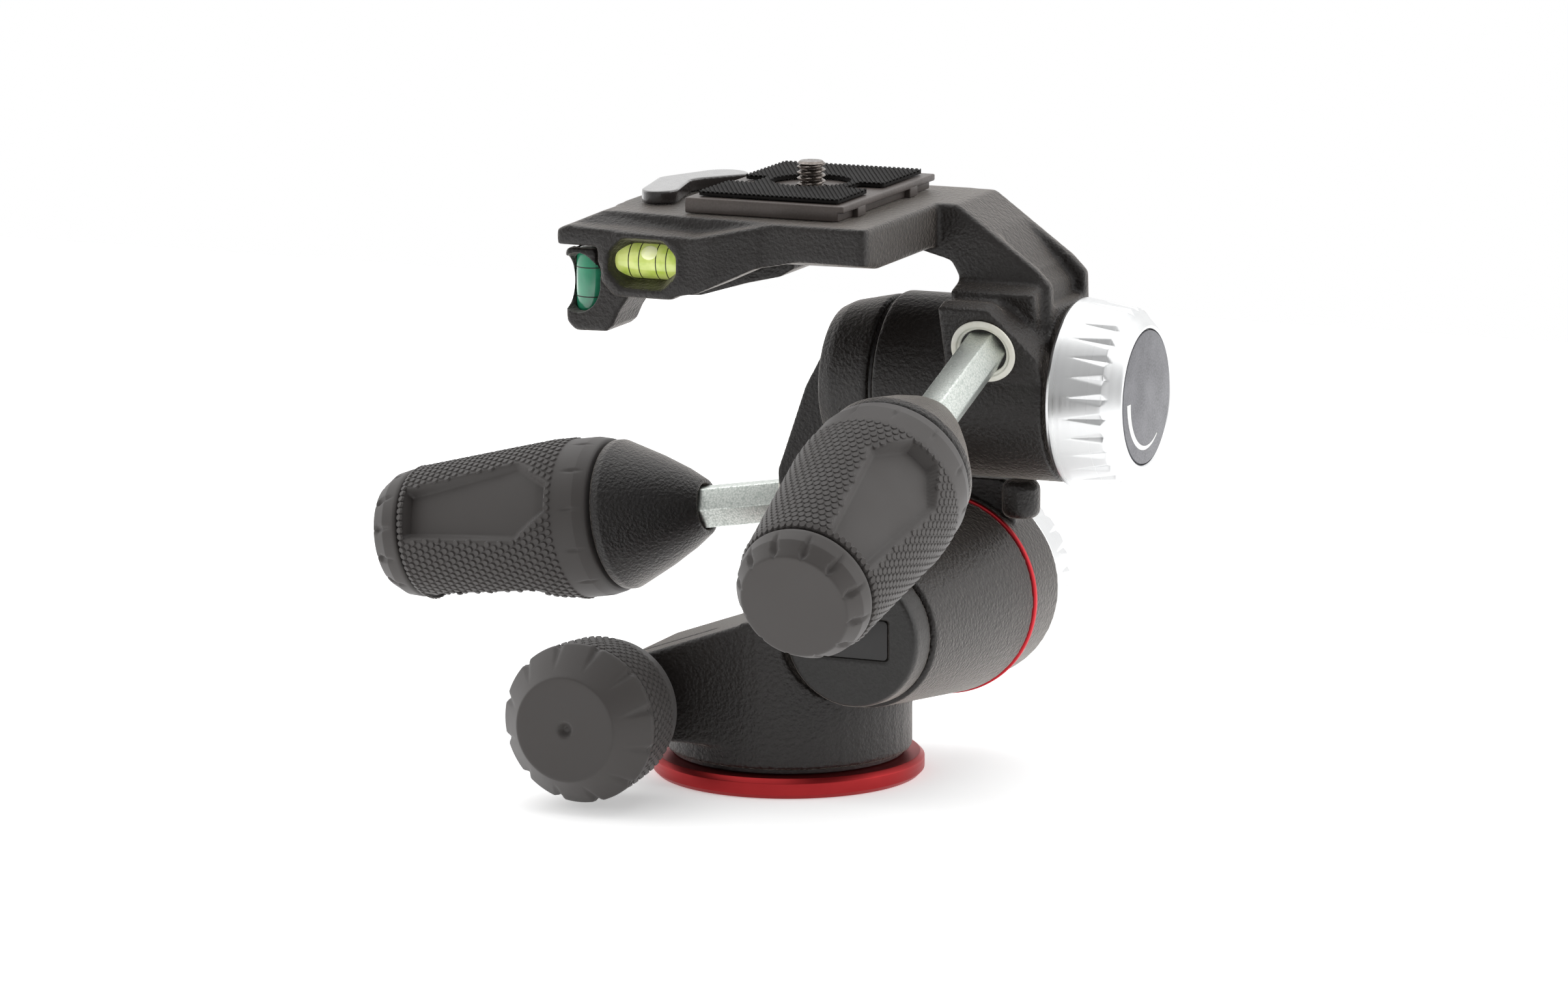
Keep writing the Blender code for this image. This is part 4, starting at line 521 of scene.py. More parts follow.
def piece(name, mesh, place, body, slot, cover, *nodes, sharp=35):
    """Puts a mesh on its axle, gives it its cover and its body, and hides its solids."""
    mesh.transform(place)
    mesh.name = name
    mesh.materials.clear()
    mesh.materials.append(cover)
    mesh.shade_smooth()
    mesh.set_sharp_from_angle(angle=math.radians(sharp))
    thing = bpy.data.objects.new(name, mesh)
    bpy.context.scene.collection.objects.link(thing)
    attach(thing, body)
    if nodes:
        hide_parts(*nodes)
    print(name, sum(len(face.vertices) - 2 for face in mesh.polygons), "triangles")
    return thing


STILL = Matrix.Identity(4)

# %% [markdown]
# ## A Geometry Nodes tree that carves flutes
#
# Knobs, grip caps and the pan knob all carry the same kind of cut: a groove that repeats
# round the axle, narrow where the cutter enters and wide where it leaves. One tree makes
# them all. It measures how far each point is from the nearest groove, shapes a round
# bowl across it, and pulls the point inwards.
# %% Geometry Nodes: flutes round an axle
def new_tree(name, **inputs):
    """A Geometry Nodes tree with a geometry in, a geometry out and named sizes."""
    tree = bpy.data.node_groups.new(name, "GeometryNodeTree")
    tree.interface.new_socket(name="Geometry", in_out="OUTPUT",
                              socket_type="NodeSocketGeometry")
    tree.interface.new_socket(name="Geometry", in_out="INPUT",
                              socket_type="NodeSocketGeometry")
    for label, kind in inputs.items():
        tree.interface.new_socket(name=label, in_out="INPUT",
                                  socket_type="NodeSocket" + kind)
    return tree, add(tree, "NodeGroupInput").outputs


def grown(mesh, tree, **sizes):
    """Runs a tree on a mesh with its named sizes and bakes the result."""
    thing = on_bench(mesh)
    step = thing.modifiers.new(tree.name, "NODES")
    step.node_group = tree
    for item in tree.interface.items_tree:
        if item.in_out == "INPUT" and item.name in sizes:
            step[item.identifier] = sizes[item.name]
    return baked(thing)


def about_axle(tree):
    """Each point's height, its turn round local Z, its place in XY and its radius."""
    spot = add(tree, "GeometryNodeInputPosition")
    x, y, z = add(tree, "ShaderNodeSeparateXYZ", spot).outputs
    turns = sums(tree, "MULTIPLY", sums(tree, "ARCTAN2", y, x), 1 / FULL_TURN)
    level = spot_at(tree, x, y, 0.0)
    radius = add(tree, "ShaderNodeVectorMath", level, operation="LENGTH").outputs["Value"]
    return z, turns, level, radius


def from_middle(tree, phase):
    """How far a repeating count is from the middle of its step."""
    return sums(tree, "ABSOLUTE", sums(tree, "SUBTRACT", sums(tree, "FRACT", phase), 0.5))


def pull_in(tree, mesh, level, depth):
    """Moves each point towards the axle by its own depth, and ends the tree."""
    inward = sums(tree, "MULTIPLY", depth, -1.0)
    out = add(tree, "ShaderNodeVectorMath", level, operation="NORMALIZE")
    moved = add(tree, "GeometryNodeSetPosition", mesh,
                sockets={"Offset": scaled(tree, out, inward)})
    add(tree, "NodeGroupOutput", moved)


def flute_tree():
    """Grooves round local Z that deepen from Start to Peak and run out at End."""
    tree, size = new_tree("flutes round an axle", Count="Int", Start="Float", Peak="Float",
                          End="Float", Width="Float", Depth="Float", Round="Float")
    z, turns, level, radius = about_axle(tree)
    away = from_middle(tree, sums(tree, "MULTIPLY", turns, size["Count"]))
    girth = sums(tree, "MULTIPLY", radius, FULL_TURN)
    across = sums(tree, "MULTIPLY", away, sums(tree, "DIVIDE", girth, size["Count"]))
    rise = ranged(tree, z, size["Start"], size["Peak"])
    fall = ranged(tree, z, size["End"], size["Peak"])
    ramp = sums(tree, "MINIMUM", rise, fall)
    bowl = sums(tree, "POWER", sums(tree, "DIVIDE", across, size["Width"]), size["Round"])
    cut = sums(tree, "SUBTRACT", ramp, bowl, use_clamp=True)
    pull_in(tree, size["Geometry"], level, sums(tree, "MULTIPLY", cut, size["Depth"]))
    return tree


FLUTES = flute_tree()

# %% [markdown]
# ## A tree that cuts a thread
#
# A thread is a groove that climbs by one pitch in each turn. The height of a point,
# measured in pitches, less its angle, measured in turns, tells how far into the groove
# it is. A positive depth cuts into a screw, and a negative one lines a nut.
# %% Geometry Nodes: a screw thread
def thread_tree():
    """A helical V groove between two heights."""
    tree, size = new_tree("thread", Pitch="Float", Depth="Float", Low="Float", High="Float",
                          Radius="Float")
    z, turns, level, radius = about_axle(tree)
    climb = sums(tree, "DIVIDE", z, size["Pitch"])
    away = from_middle(tree, sums(tree, "SUBTRACT", climb, turns))
    valley = ranged(tree, away, 0.45, 0.1)
    entry = sums(tree, "ADD", size["Low"], size["Pitch"])
    leave = sums(tree, "SUBTRACT", size["High"], size["Pitch"])
    rise = ranged(tree, z, size["Low"], entry)
    fall = ranged(tree, z, size["High"], leave)
    ends = sums(tree, "MINIMUM", rise, fall)
    skin = sums(tree, "COMPARE", radius, size["Radius"], 0.05 * MM)
    cut = sums(tree, "MULTIPLY", sums(tree, "MULTIPLY", valley, ends), skin)
    pull_in(tree, size["Geometry"], level, sums(tree, "MULTIPLY", cut, size["Depth"]))
    return tree


THREAD = thread_tree()

# %% [markdown]
# ## A tree that lays scales
#
# The rubber grips are covered with small raised scales in staggered rows, so that they
# don't slip. The tree puts a point far outside for every scale, shoots a ray in towards
# the axle, and sets a low eight sided bump where the ray lands. Points that land on a
# smooth pad are dropped, because the skin carries a mark that says where it is plain.
# %% Geometry Nodes: scales on a grip
def scale_tree():
    """Rows of low bumps on a turned skin, staggered and leaning like fish scales."""
    tree, size = new_tree("grip scales", Rows="Int", Columns="Int", Start="Float",
                          Pitch="Float", Reach="Float", Length="Float", Width="Float",
                          Height="Float", Lean="Float", Cover="Material")
    index = add(tree, "GeometryNodeInputIndex")
    whole = sums(tree, "DIVIDE", index, size["Columns"])
    row = sums(tree, "FLOOR", whole)
    column = sums(tree, "MODULO", index, size["Columns"])
    odd = sums(tree, "MODULO", row, 2.0)
    stagger = sums(tree, "MULTIPLY", odd, 0.5)
    seat = sums(tree, "ADD", column, stagger)
    turn = sums(tree, "DIVIDE", seat, size["Columns"])
    angle = sums(tree, "MULTIPLY", turn, FULL_TURN)
    cosine = sums(tree, "COSINE", angle)
    sine = sums(tree, "SINE", angle)
    climb = sums(tree, "MULTIPLY", row, size["Pitch"])
    height = sums(tree, "ADD", climb, size["Start"])
    out = spot_at(tree, cosine, sine, 0.0)
    far = scaled(tree, out, size["Reach"])
    raised = spot_at(tree, 0.0, 0.0, height)
    spot = add(tree, "ShaderNodeVectorMath", far, raised, operation="ADD")
    count = sums(tree, "MULTIPLY", size["Rows"], size["Columns"])
    points = add(tree, "GeometryNodePoints", count, spot)
    here = add(tree, "GeometryNodeInputPosition")
    flat = add(tree, "ShaderNodeVectorMath", here, (1.0, 1.0, 0.0), operation="MULTIPLY")
    inward = add(tree, "ShaderNodeVectorMath", flat, (-1.0, -1.0, 0.0), operation="MULTIPLY")
    mark = add(tree, "GeometryNodeInputNamedAttribute", "plain", data_type="FLOAT")
    ray = add(tree, "GeometryNodeRaycast", data_type="FLOAT",
              sockets={"Target Geometry": size["Geometry"],
                       "Attribute": mark.outputs["Attribute"], "Source Position": here,
                       "Ray Direction": inward, "Ray Length": size["Reach"]})
    missed = sums(tree, "SUBTRACT", 1.0, ray.outputs["Is Hit"])
    unwanted = sums(tree, "ADD", missed, ray.outputs["Attribute"])
    drop = sums(tree, "GREATER_THAN", unwanted, 0.4)
    kept = add(tree, "GeometryNodeStoreNamedAttribute", points, None, "facing",
               ray.outputs["Hit Normal"], data_type="FLOAT_VECTOR", domain="POINT")
    marked = add(tree, "GeometryNodeStoreNamedAttribute", kept, None, "dropped", drop,
                 data_type="FLOAT", domain="POINT")
    landed = add(tree, "GeometryNodeSetPosition", marked,
                 sockets={"Position": ray.outputs["Hit Position"]})
    dropped = add(tree, "GeometryNodeInputNamedAttribute", "dropped", data_type="FLOAT")
    left = add(tree, "GeometryNodeDeleteGeometry", landed, dropped.outputs["Attribute"],
               domain="POINT")
    facing = add(tree, "GeometryNodeInputNamedAttribute", "facing",
                 data_type="FLOAT_VECTOR")
    stand = add(tree, "FunctionNodeAlignRotationToVector", axis="Z",
                sockets={"Vector": facing.outputs["Attribute"]})
    lie = add(tree, "FunctionNodeAlignRotationToVector", axis="Y", pivot_axis="Z",
              sockets={"Rotation": stand, "Vector": (0.0, 0.0, 1.0)})
    tip = spot_at(tree, size["Lean"], 0.0, 0.0)
    leaning = add(tree, "FunctionNodeRotateRotation", lie, tip, rotation_space="LOCAL")
    bump = add(tree, "GeometryNodeMeshCone", sockets={"Vertices": 8, "Radius Top": 0.74,
                                                      "Radius Bottom": 1.0, "Depth": 1.0})
    shape = spot_at(tree, size["Width"], size["Length"], size["Height"])
    sink = sums(tree, "MULTIPLY", size["Height"], -0.35)
    lower = spot_at(tree, 0.0, 0.0, sink)
    sized = add(tree, "GeometryNodeTransform", bump.outputs["Mesh"],
                sockets={"Translation": lower, "Scale": shape})
    laid = add(tree, "GeometryNodeInstanceOnPoints", left,
               sockets={"Instance": sized, "Rotation": leaning})
    solid = add(tree, "GeometryNodeRealizeInstances", laid)
    both = add(tree, "GeometryNodeJoinGeometry", solid)
    tree.links.new(size["Geometry"], both.inputs[0])
    covered = add(tree, "GeometryNodeSetMaterial", both, sockets={"Material": size["Cover"]})
    add(tree, "NodeGroupOutput", covered)
    return tree


SCALES = scale_tree()
print("trees:", FLUTES.name, "/", THREAD.name, "/", SCALES.name)

# %% [markdown]
# ## The red base disc and its bush
#
# The disc is what the tripod's plate clamps against. It is turned from aluminium, with a
# chamfer above and below its rim, and a steel bush with a 3/8 inch thread is pressed in
# its middle. The rim is redrawn with soft chamfers so that it catches one long highlight.
# %% Base disc and threaded bush
low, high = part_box("base_disc")
DISC_RADIUS = (high.x - low.x) / 2
DISC_TOP = 4.5 * MM
DISC_CHAMFER = 1.0 * MM
bush_low, bush_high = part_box("tripod_thread_bush")
BUSH_RADIUS = (bush_high.x - bush_low.x) / 2
HUB_BORE = BUSH_RADIUS + 0.3 * MM
HUB_RADIUS = HUB_BORE + 3.0 * MM
disc = turned(eased([
    (HUB_BORE, high.z), (HUB_RADIUS, high.z), (HUB_RADIUS, DISC_TOP),
    (DISC_RADIUS - DISC_CHAMFER, DISC_TOP), (DISC_RADIUS, DISC_TOP - DISC_CHAMFER),
    (DISC_RADIUS, DISC_CHAMFER), (DISC_RADIUS - DISC_CHAMFER, 0), (HUB_BORE, 0)],
    0.2 * MM, closed=True), 128, ring=True)
piece("red_base_disc", disc, PAN, "base", "red_anodised", RED_DISC, "base_disc")

TRIPOD_RADIUS = 4.7625 * MM
TRIPOD_PITCH = 25.4 / 16 * MM
bush = turned(finer([
    (TRIPOD_RADIUS, bush_low.z), (TRIPOD_RADIUS, bush_high.z), (BUSH_RADIUS, bush_high.z),
    (BUSH_RADIUS, bush_low.z)], 0.2 * MM), 48, ring=True)
bush = grown(bush, THREAD, Pitch=TRIPOD_PITCH, Depth=-0.05 * MM,
             Low=bush_low.z - TRIPOD_PITCH, High=bush_high.z + TRIPOD_PITCH,
             Radius=TRIPOD_RADIUS)
piece("tripod_bush", bush, PAN, "base", "zinc_steel", ROD_ZINC, "tripod_thread_bush")

# %% [markdown]
# ## The three castings
#
# The housing stands on the disc and carries the lower barrel. The bracket clamps round
# that barrel's spindle and carries the upper barrel. The platform's collar clamps round
# the upper spindle and its arch carries the plate. All three are cast aluminium
# under the black coat, so all three are softened in the same way. Places and sizes in
# this cell are plain millimetres from the pan axis at the floor, or from the front
# lever's own axle for its lug.
# %% Housing, tilt bracket and platform
VOXEL = 0.48
SMALL_VOXEL = 0.36
SMALLEST_VOXEL = 0.26
ROUNDS = 8
SIDE_FACE = -24.4
WINDOW_SPAN = (-30.6, -17.2, 110.7, 119.1)
WINDOW_CORNER = 3.2
FRAME_WIDTH = 3.4
LUG_DEPTH = -7.2
POCKET_SPAN = (22.8, 41.2)
BOSS_RADIUS = 4.3
BOSS_SPAN = (-2.5, 6.0)
BOSS_PLACE = (43.2, 29.6, 57.0)


def crosswise(outline, front, back):
    """A solid from its (x, z) outline, between two depths from front to back."""
    return hull([(x, y, z) for x, z in outline for y in (front, back)])


def window(grow, y):
    """A long octagon round the level window, at one depth."""
    left, right, low, high = WINDOW_SPAN
    left, right, low, high = left - grow, right + grow, low - grow, high + grow
    cut = WINDOW_CORNER
    return [(x, y, z) for x, z in (
        (left + cut, low), (right - cut, low), (right, low + cut), (right, high - cut),
        (right - cut, high), (left + cut, high), (left, high - cut), (left, low + cut))]


def level_pod():
    """What is added round the level: its frame, the lip, the brow and the cheek."""
    frame_block = hull(window(FRAME_WIDTH, SIDE_FACE) + window(2.0, SIDE_FACE - 0.8)
                       + window(FRAME_WIDTH, -20.0))
    lip = crosswise([(-44.4, 118.0), (-44.4, 121.4), (-36.5, 124.9), (-33.0, 124.9),
                     (-33.0, 118.0)], SIDE_FACE, -9.0)
    brow = hull([
        (-35.0, SIDE_FACE, 118.5), (-12.0, SIDE_FACE, 118.5), (-35.0, SIDE_FACE, 121.6),
        (-12.0, SIDE_FACE, 121.2), (5.0, -22.0, 118.6), (5.0, -22.0, 123.4),
        (-35.0, -16.0, 118.5), (5.0, -16.0, 118.5), (-35.0, -18.0, 124.6),
        (5.0, -18.0, 124.6)])
    cheek = hull([
        (-16.0, SIDE_FACE, 121.0), (-16.0, SIDE_FACE, 109.4), (5.0, -22.0, 116.0),
        (5.0, -22.0, 121.0), (-16.0, -12.0, 109.4), (5.0, -12.0, 115.6),
        (-16.0, -12.0, 121.0), (5.0, -12.0, 121.0)])
    return [frame_block, lip, brow, cheek]


def side_cuts():
    """What is cut from the platform's side: window, cove, faded side and keel."""
    opening = hull(window(0.0, -22.6) + window(1.6, -26.0) + window(0.0, -20.0))
    cove = hull([(-46, -30, 125.6), (8, -30, 125.6), (-46, -16.5, 125.6), (8, -20.5, 125.6),
                 (-46, -30, 122.4), (-12, -30, 120.6), (-46, -21.0, 122.8),
                 (-12, -19.5, 121.8)])
    fade = hull([(x, y, z) for x, y in ((-9, -24.7), (7, -21.9), (-9, -30), (7, -30))
                 for z in (100, 130)])
    keel = hull([(4, -30, 110), (30, -30, 110), (4, -22.3, 115.4), (12, -22.3, 117.2),
                 (30, -22.3, 117.0), (4, -15.0, 115.2), (30, -13.0, 115.2), (4, -30, 115.4),
                 (12, -30, 117.2), (30, -30, 117.0)])
    return [opening, cove, fade, keel]


def platform_casting():
    """The platform with its level pod, its lug's shoulder and the pocket in its arch."""
    shoulder = hull([(x, y, z) for x, y in (
        (-8.6, -12.0), (-8.6, 8.6), (1.5, 8.6), (9.0, 3.4), (12.4, -3.0), (12.4, -12.0))
        for z in (LUG_DEPTH, 0.0)], FRONT)
    corner = hull([(x, y, z) for x, y in (
        (2.0, 9.6), (9.4, 4.2), (13.0, -3.0), (16, -3.0), (16, 12), (2.0, 12))
        for z in (LUG_DEPTH, 2.0)], FRONT)
    pocket = [crosswise(outline, *POCKET_SPAN) for outline in (
        [(38.4, 120.4), (47.2, 110.4), (54.0, 114.0), (44.0, 126.0)],
        [(47.2, 110.4), (50.8, 106.4), (57.0, 106.4), (54.0, 114.0)],
        [(50.8, 107.0), (51.0, 103.6), (57.0, 103.6), (57.0, 107.0)])]
    casting = carved(copied("platform_arch"), [*level_pod(), shoulder],
                     [*side_cuts(), corner, *pocket])
    return softened(casting, VOXEL, 2 * ROUNDS)


def bracket_casting():
    """The tilt bracket with the clamp screw's boss and the slit of its lower collar."""
    low, high = (end * MM for end in BOSS_SPAN)
    radius = BOSS_RADIUS * MM
    boss = turned(eased([(0, high), (radius, high), (radius, low), (0, low)], 3.0 * MM, 5), 48)
    boss.transform(PAN @ Matrix.Translation(Vector(BOSS_PLACE) * MM))
    slit = crosswise([(38.4, 50.0), (39.2, 50.0), (39.2, 62.6), (38.4, 62.6)], 20, 31.5)
    return softened(carved(copied("tilt_bracket"), [boss], [slit]), VOXEL, ROUNDS)


CASTINGS = {
    "pan_housing": ("pan_housing_casting", "pan",
                    softened(copied("pan_housing"), VOXEL, ROUNDS)),
    "tilt_bracket": ("tilt_bracket_casting", "tilt", bracket_casting()),
    "platform_arch": ("platform_casting", "platform", platform_casting()),
}
for node, (name, body, mesh) in CASTINGS.items():
    piece(name, mesh, STILL, body, "black_powder_coat", CAST_BLACK, node, sharp=60)

# %% [markdown]
# ## Small moulded covers
#
# The end cap of the lower barrel, the block that holds the plumb vial, the cover under
# the release lever and the lever itself are moulded or cast small, so their fillets are
# smaller too. They get the same treatment with finer voxels.
# %% End cap, level block, mechanism cover and release lever
VIAL_PLACES = {
    "level": PAN.translation + Vector((-23.7, -18.6, 115.0)) * MM,
    "plumb": PAN.translation + Vector((-38.4, -18.2, 109.8)) * MM,
}
BLOCK_SPAN = (9.0 * MM, 24.2 * MM)
BORE_RADIUS = 3.85 * MM
BORE_HALF = 7.8 * MM
EYE_RADIUS = 5.5 * MM
EYE_HALF = 6.6 * MM
EYE_SHIFT = (-1.2, -5.6, 0.0)


def level_block():
    """The block under the split line, hollowed so that the plumb vial shows."""
    outline = [(-42.6, 117.4), (-35.2, 117.4), (-35.0, 112.4), (-31.9, 110.2),
               (-30.6, 108.6), (-27.0, 108.4), (-30.2, 103.6), (-31.6, 100.6),
               (-33.0, 99.4), (-40.4, 99.2), (-42.4, 101.2)]
    body = slab([(x * MM, -z * MM) for x, z in outline], *BLOCK_SPAN, 1.2 * MM)
    body.transform(PAN @ Matrix.Rotation(-math.pi / 2, 4, "X") @ Matrix.Scale(
        -1, 4, (0, 0, 1)))
    middle = VIAL_PLACES["plumb"]
    bore = turned([(0, -BORE_HALF), (BORE_RADIUS, -BORE_HALF), (BORE_RADIUS, BORE_HALF),
                   (0, BORE_HALF)], 48)
    bore.transform(Matrix.Translation(middle))
    eye = drop(EYE_RADIUS, EYE_HALF, 48)
    eye.transform(Matrix.Translation(middle + Vector(EYE_SHIFT) * MM))
    return softened(carved(outward(body), (), [bore, eye]), SMALLEST_VOXEL, 5)


SMALL_PIECES = {
    "lateral_end_cap": ("barrel_end_cap", "pan", "black_plastic", PLASTIC_BLACK,
                        softened(copied("lateral_end_cap"), SMALL_VOXEL, 4)),
    "level_block": ("level_housing_block", "platform", "black_plastic", CAST_BLACK,
                    level_block()),
    "mechanism_cover": ("release_cover", "platform", "black_plastic", CAST_BLACK,
                        softened(copied("mechanism_cover"), SMALL_VOXEL, ROUNDS)),
    "release_lever": ("release_finger_lever", "release_lever", "black_plastic", LEVER_PAINT,
                      softened(copied("release_lever"), SMALLEST_VOXEL, 2 * ROUNDS)),
}
for node, (name, body, slot, cover, mesh) in SMALL_PIECES.items():
    piece(name, mesh, STILL, body, slot, cover, node, sharp=60)

# %% [markdown]
# ## The bare label and the red index ring
#
# A small foil label sits in a recess on the end cap. It stays bare here. Behind the
# barrel a thin red ring marks where the tilting collar meets the fixed barrel, turned
# with a slightly rounded rim.
# %% Label plate and index ring
low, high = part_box("blank_label_plate")
half_width = (high.x - low.x) / 2
half_height = (high.z - low.z) / 2
label = slab(eased([(-half_width, -half_height), (half_width, -half_height),
                    (half_width, half_height), (-half_width, half_height)], 0.9 * MM, 4,
                   closed=True), 0.0, high.y - low.y, 0.08 * MM)
label_place = Matrix.Translation(((low.x + high.x) / 2, high.y, (low.z + high.z) / 2)) @ (
    Matrix.Rotation(math.pi / 2, 4, "X"))
piece("bare_label", label, label_place, "pan", "black_plastic", LABEL_FOIL,
      "blank_label_plate")

low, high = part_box("red_index_ring")
RING_RADIUS = (high.x - low.x) / 2
RING_BORE = 8.0 * MM
ring_low = low.y - LOWER.translation.y
ring_high = high.y - LOWER.translation.y
ring = turned(eased([(RING_BORE, ring_low), (RING_RADIUS, ring_low), (RING_RADIUS, ring_high),
                     (RING_BORE, ring_high)], 0.35 * MM, closed=True), 128, ring=True)
piece("red_ring", ring, LOWER, "pan", "red_anodised", RED_RING, "red_index_ring")

# %% [markdown]
# ## The two friction knobs
#
# Each knob presses a spring and a washer against its clamp collar and so sets how stiff
# that axis is. It is turned aluminium. Flutes start as points near its back, widen
# towards the front and run out at the shoulder, where a smooth bevel leads to a recessed
# grey disc. A tapered white arc, thin at one end and thick at the other, says which way
# is stiffer without any words.
# %% Fluted knobs with their discs and arcs
knob_low, knob_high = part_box("lateral_friction_knob")
KNOB_LENGTH = knob_high.y - knob_low.y
KNOB_RADIUS = (knob_high.x - knob_low.x) / 2
SHOULDER_RADIUS = 19.4 * MM
SHOULDER = 3.6 * MM
FACE_RADIUS = 15.9 * MM
DISC_SEAT_RADIUS = 15.0 * MM
FOIL_RADIUS = 14.7 * MM
FOIL_FLOOR = KNOB_LENGTH - 1.2 * MM
CAVITY_RADIUS = 12.6 * MM
CAVITY_DEPTH = 4.6 * MM
FLUTE_COUNT = 28
ARC_START = 306
ARC_SWEEP = 126
ARC_STEPS = 40


def friction_knob():
    """The turned body with its flutes, round local Z with its face at the far end."""
    shoulder = KNOB_LENGTH - SHOULDER
    profile = eased([
        (0, FOIL_FLOOR), (DISC_SEAT_RADIUS, FOIL_FLOOR), (DISC_SEAT_RADIUS, KNOB_LENGTH),
        (FACE_RADIUS, KNOB_LENGTH), (SHOULDER_RADIUS, shoulder), (KNOB_RADIUS, 0.8 * MM),
        (KNOB_RADIUS - 0.5 * MM, 0), (CAVITY_RADIUS, 0), (CAVITY_RADIUS, CAVITY_DEPTH),
        (0, CAVITY_DEPTH)], 0.45 * MM)
    body = turned(finer(profile, 0.6 * MM), FLUTE_COUNT * 20)
    return grown(body, FLUTES, Count=FLUTE_COUNT, Start=4.2 * MM, Peak=shoulder - 0.1 * MM,
                 End=shoulder + 0.9 * MM, Width=1.3 * MM, Depth=0.6 * MM, Round=1.0)


def friction_arc():
    """A flat arc that grows from a thin tip to a wide round end."""
    middle = FOIL_RADIUS * 0.76
    outer, inner = [], []
    for k in range(ARC_STEPS + 1):
        share = k / ARC_STEPS
        angle = math.radians(ARC_START - ARC_SWEEP * share)
        half = (0.12 + 0.95 * share) * MM
        for edge, radius in ((outer, middle + half), (inner, middle - half)):
            edge.append((radius * math.cos(angle), radius * math.sin(angle)))
    return slab(outer + inner[::-1], KNOB_LENGTH - 0.02 * MM, KNOB_LENGTH + 0.02 * MM)


for axis in ("lateral", "front"):
    place = KNOBS[axis]
    body = axis + "_knob"
    piece(axis + "_fluted_knob", friction_knob(), place, body, "satin_aluminium",
          SATIN_ALUMINIUM[axis], axis + "_friction_knob", sharp=28)
    foil = turned(eased([(0, FOIL_FLOOR + 0.3 * MM), (FOIL_RADIUS, FOIL_FLOOR + 0.3 * MM),
                         (FOIL_RADIUS, KNOB_LENGTH), (0, KNOB_LENGTH)], 0.15 * MM))
    piece(axis + "_knob_foil", foil, place, body, "grey_disc", DISC_FOIL,
          axis + "_knob_disc")
    piece(axis + "_friction_arc", friction_arc(), place, body, "grey_disc", PRINT_WHITE)

# %% [markdown]
# ## The lever grips
#
# Each grip has three mouldings. A hard black cone slides on the rod, a rubber sleeve
# covers its core, and a rubber cap closes the end. The sleeve is a turned skin with two
# long six sided thumb pads pressed into it. Its plain band next to the cone has twelve
# short notches, and scales cover the rest. The cap repeats the twelve notches as deeper
# cuts over its bevel.
# %% Sizes of a grip, measured along its rod
GRIP_LENGTH = 79.0 * MM
CAP_LENGTH = 7.5 * MM
SEAM = GRIP_LENGTH - CAP_LENGTH
NOSE_RADIUS = 6.3 * MM
CONE_LENGTH = 19.5 * MM
CONE_RADIUS = 17.0 * MM
BAND_START = 22.3 * MM
SCALES_START = 31.2 * MM
CREASE = 44.0 * MM
GRIP_RADIUS = 18.1 * MM
SEAM_RADIUS = 14.9 * MM
CAP_FACE_RADIUS = 11.8 * MM
CORE_RADIUS = 10.3 * MM
ROD_CORNER = 5.3 * MM
NOTCHES = 12
PAD_START = 32.6 * MM
PAD_END = 70.2 * MM
PAD_NARROW = 3.6 * MM
PAD_WIDE = 9.6 * MM
PAD_WIDEST = 41.0 * MM
PAD_TAIL = 6.0 * MM
PAD_BEVEL = 1.1 * MM
PAD_RECESS = 1.25 * MM
PAD_FLATTEN = 0.55
SCALE_PITCH = 1.62 * MM
SCALE_COLUMNS = 62
SCALE_SHAPE = {"Pitch": SCALE_PITCH, "Reach": 30 * MM, "Height": 0.46 * MM,
               "Lean": math.radians(-6), "Cover": GRIP_RUBBER}


def smoothstep(value):
    """0 to 1 with no kink at either end."""
    value = min(1.0, max(0.0, value))
    return value * value * (3 - 2 * value)


def pad_mask(across, along):
    """1 on a thumb pad and 0 beside it, with a sloped border between."""
    if along < PAD_WIDEST:
        share = (along - PAD_START) / (PAD_WIDEST - PAD_START)
        half = PAD_NARROW + (PAD_WIDE - PAD_NARROW) * share
    else:
        share = (along - PAD_WIDEST) / (PAD_END - PAD_WIDEST)
        half = PAD_WIDE + (PAD_TAIL - PAD_WIDE) * share
    room = min(half - abs(across), along - PAD_START, PAD_END - along)
    return smoothstep(room / PAD_BEVEL)


def pressed_pads(mesh, start, pads):
    """Presses the thumb pads into a sleeve and marks where no scales go."""
    plain = mesh.attributes.new("plain", "FLOAT", "POINT")
    for point, mark in zip(mesh.vertices, plain.data):
        spot = point.co
        along = spot.z - start
        radius = math.hypot(spot.x, spot.y)
        if radius < CORE_RADIUS + MM:
            continue
        mark.value = 1.0 if along < SCALES_START or along > SEAM - 0.6 * MM else 0.0
        for pad in pads:
            turn = math.atan2(spot.y, spot.x) - math.radians(pad)
            turn = (turn + math.pi) % FULL_TURN - math.pi
            if abs(turn) > 1:
                continue
            across = radius * math.sin(turn)
            press = pad_mask(across, along)
            if not press:
                continue
            sag = radius * (math.cos(turn) - math.sqrt(max(0, 1 - (PAD_WIDE / radius) ** 2)))
            share = 1 - press * (PAD_RECESS + PAD_FLATTEN * max(0, sag)) / radius
            point.co = (spot.x * share, spot.y * share, spot.z)
            mark.value = 1.0
    return mesh


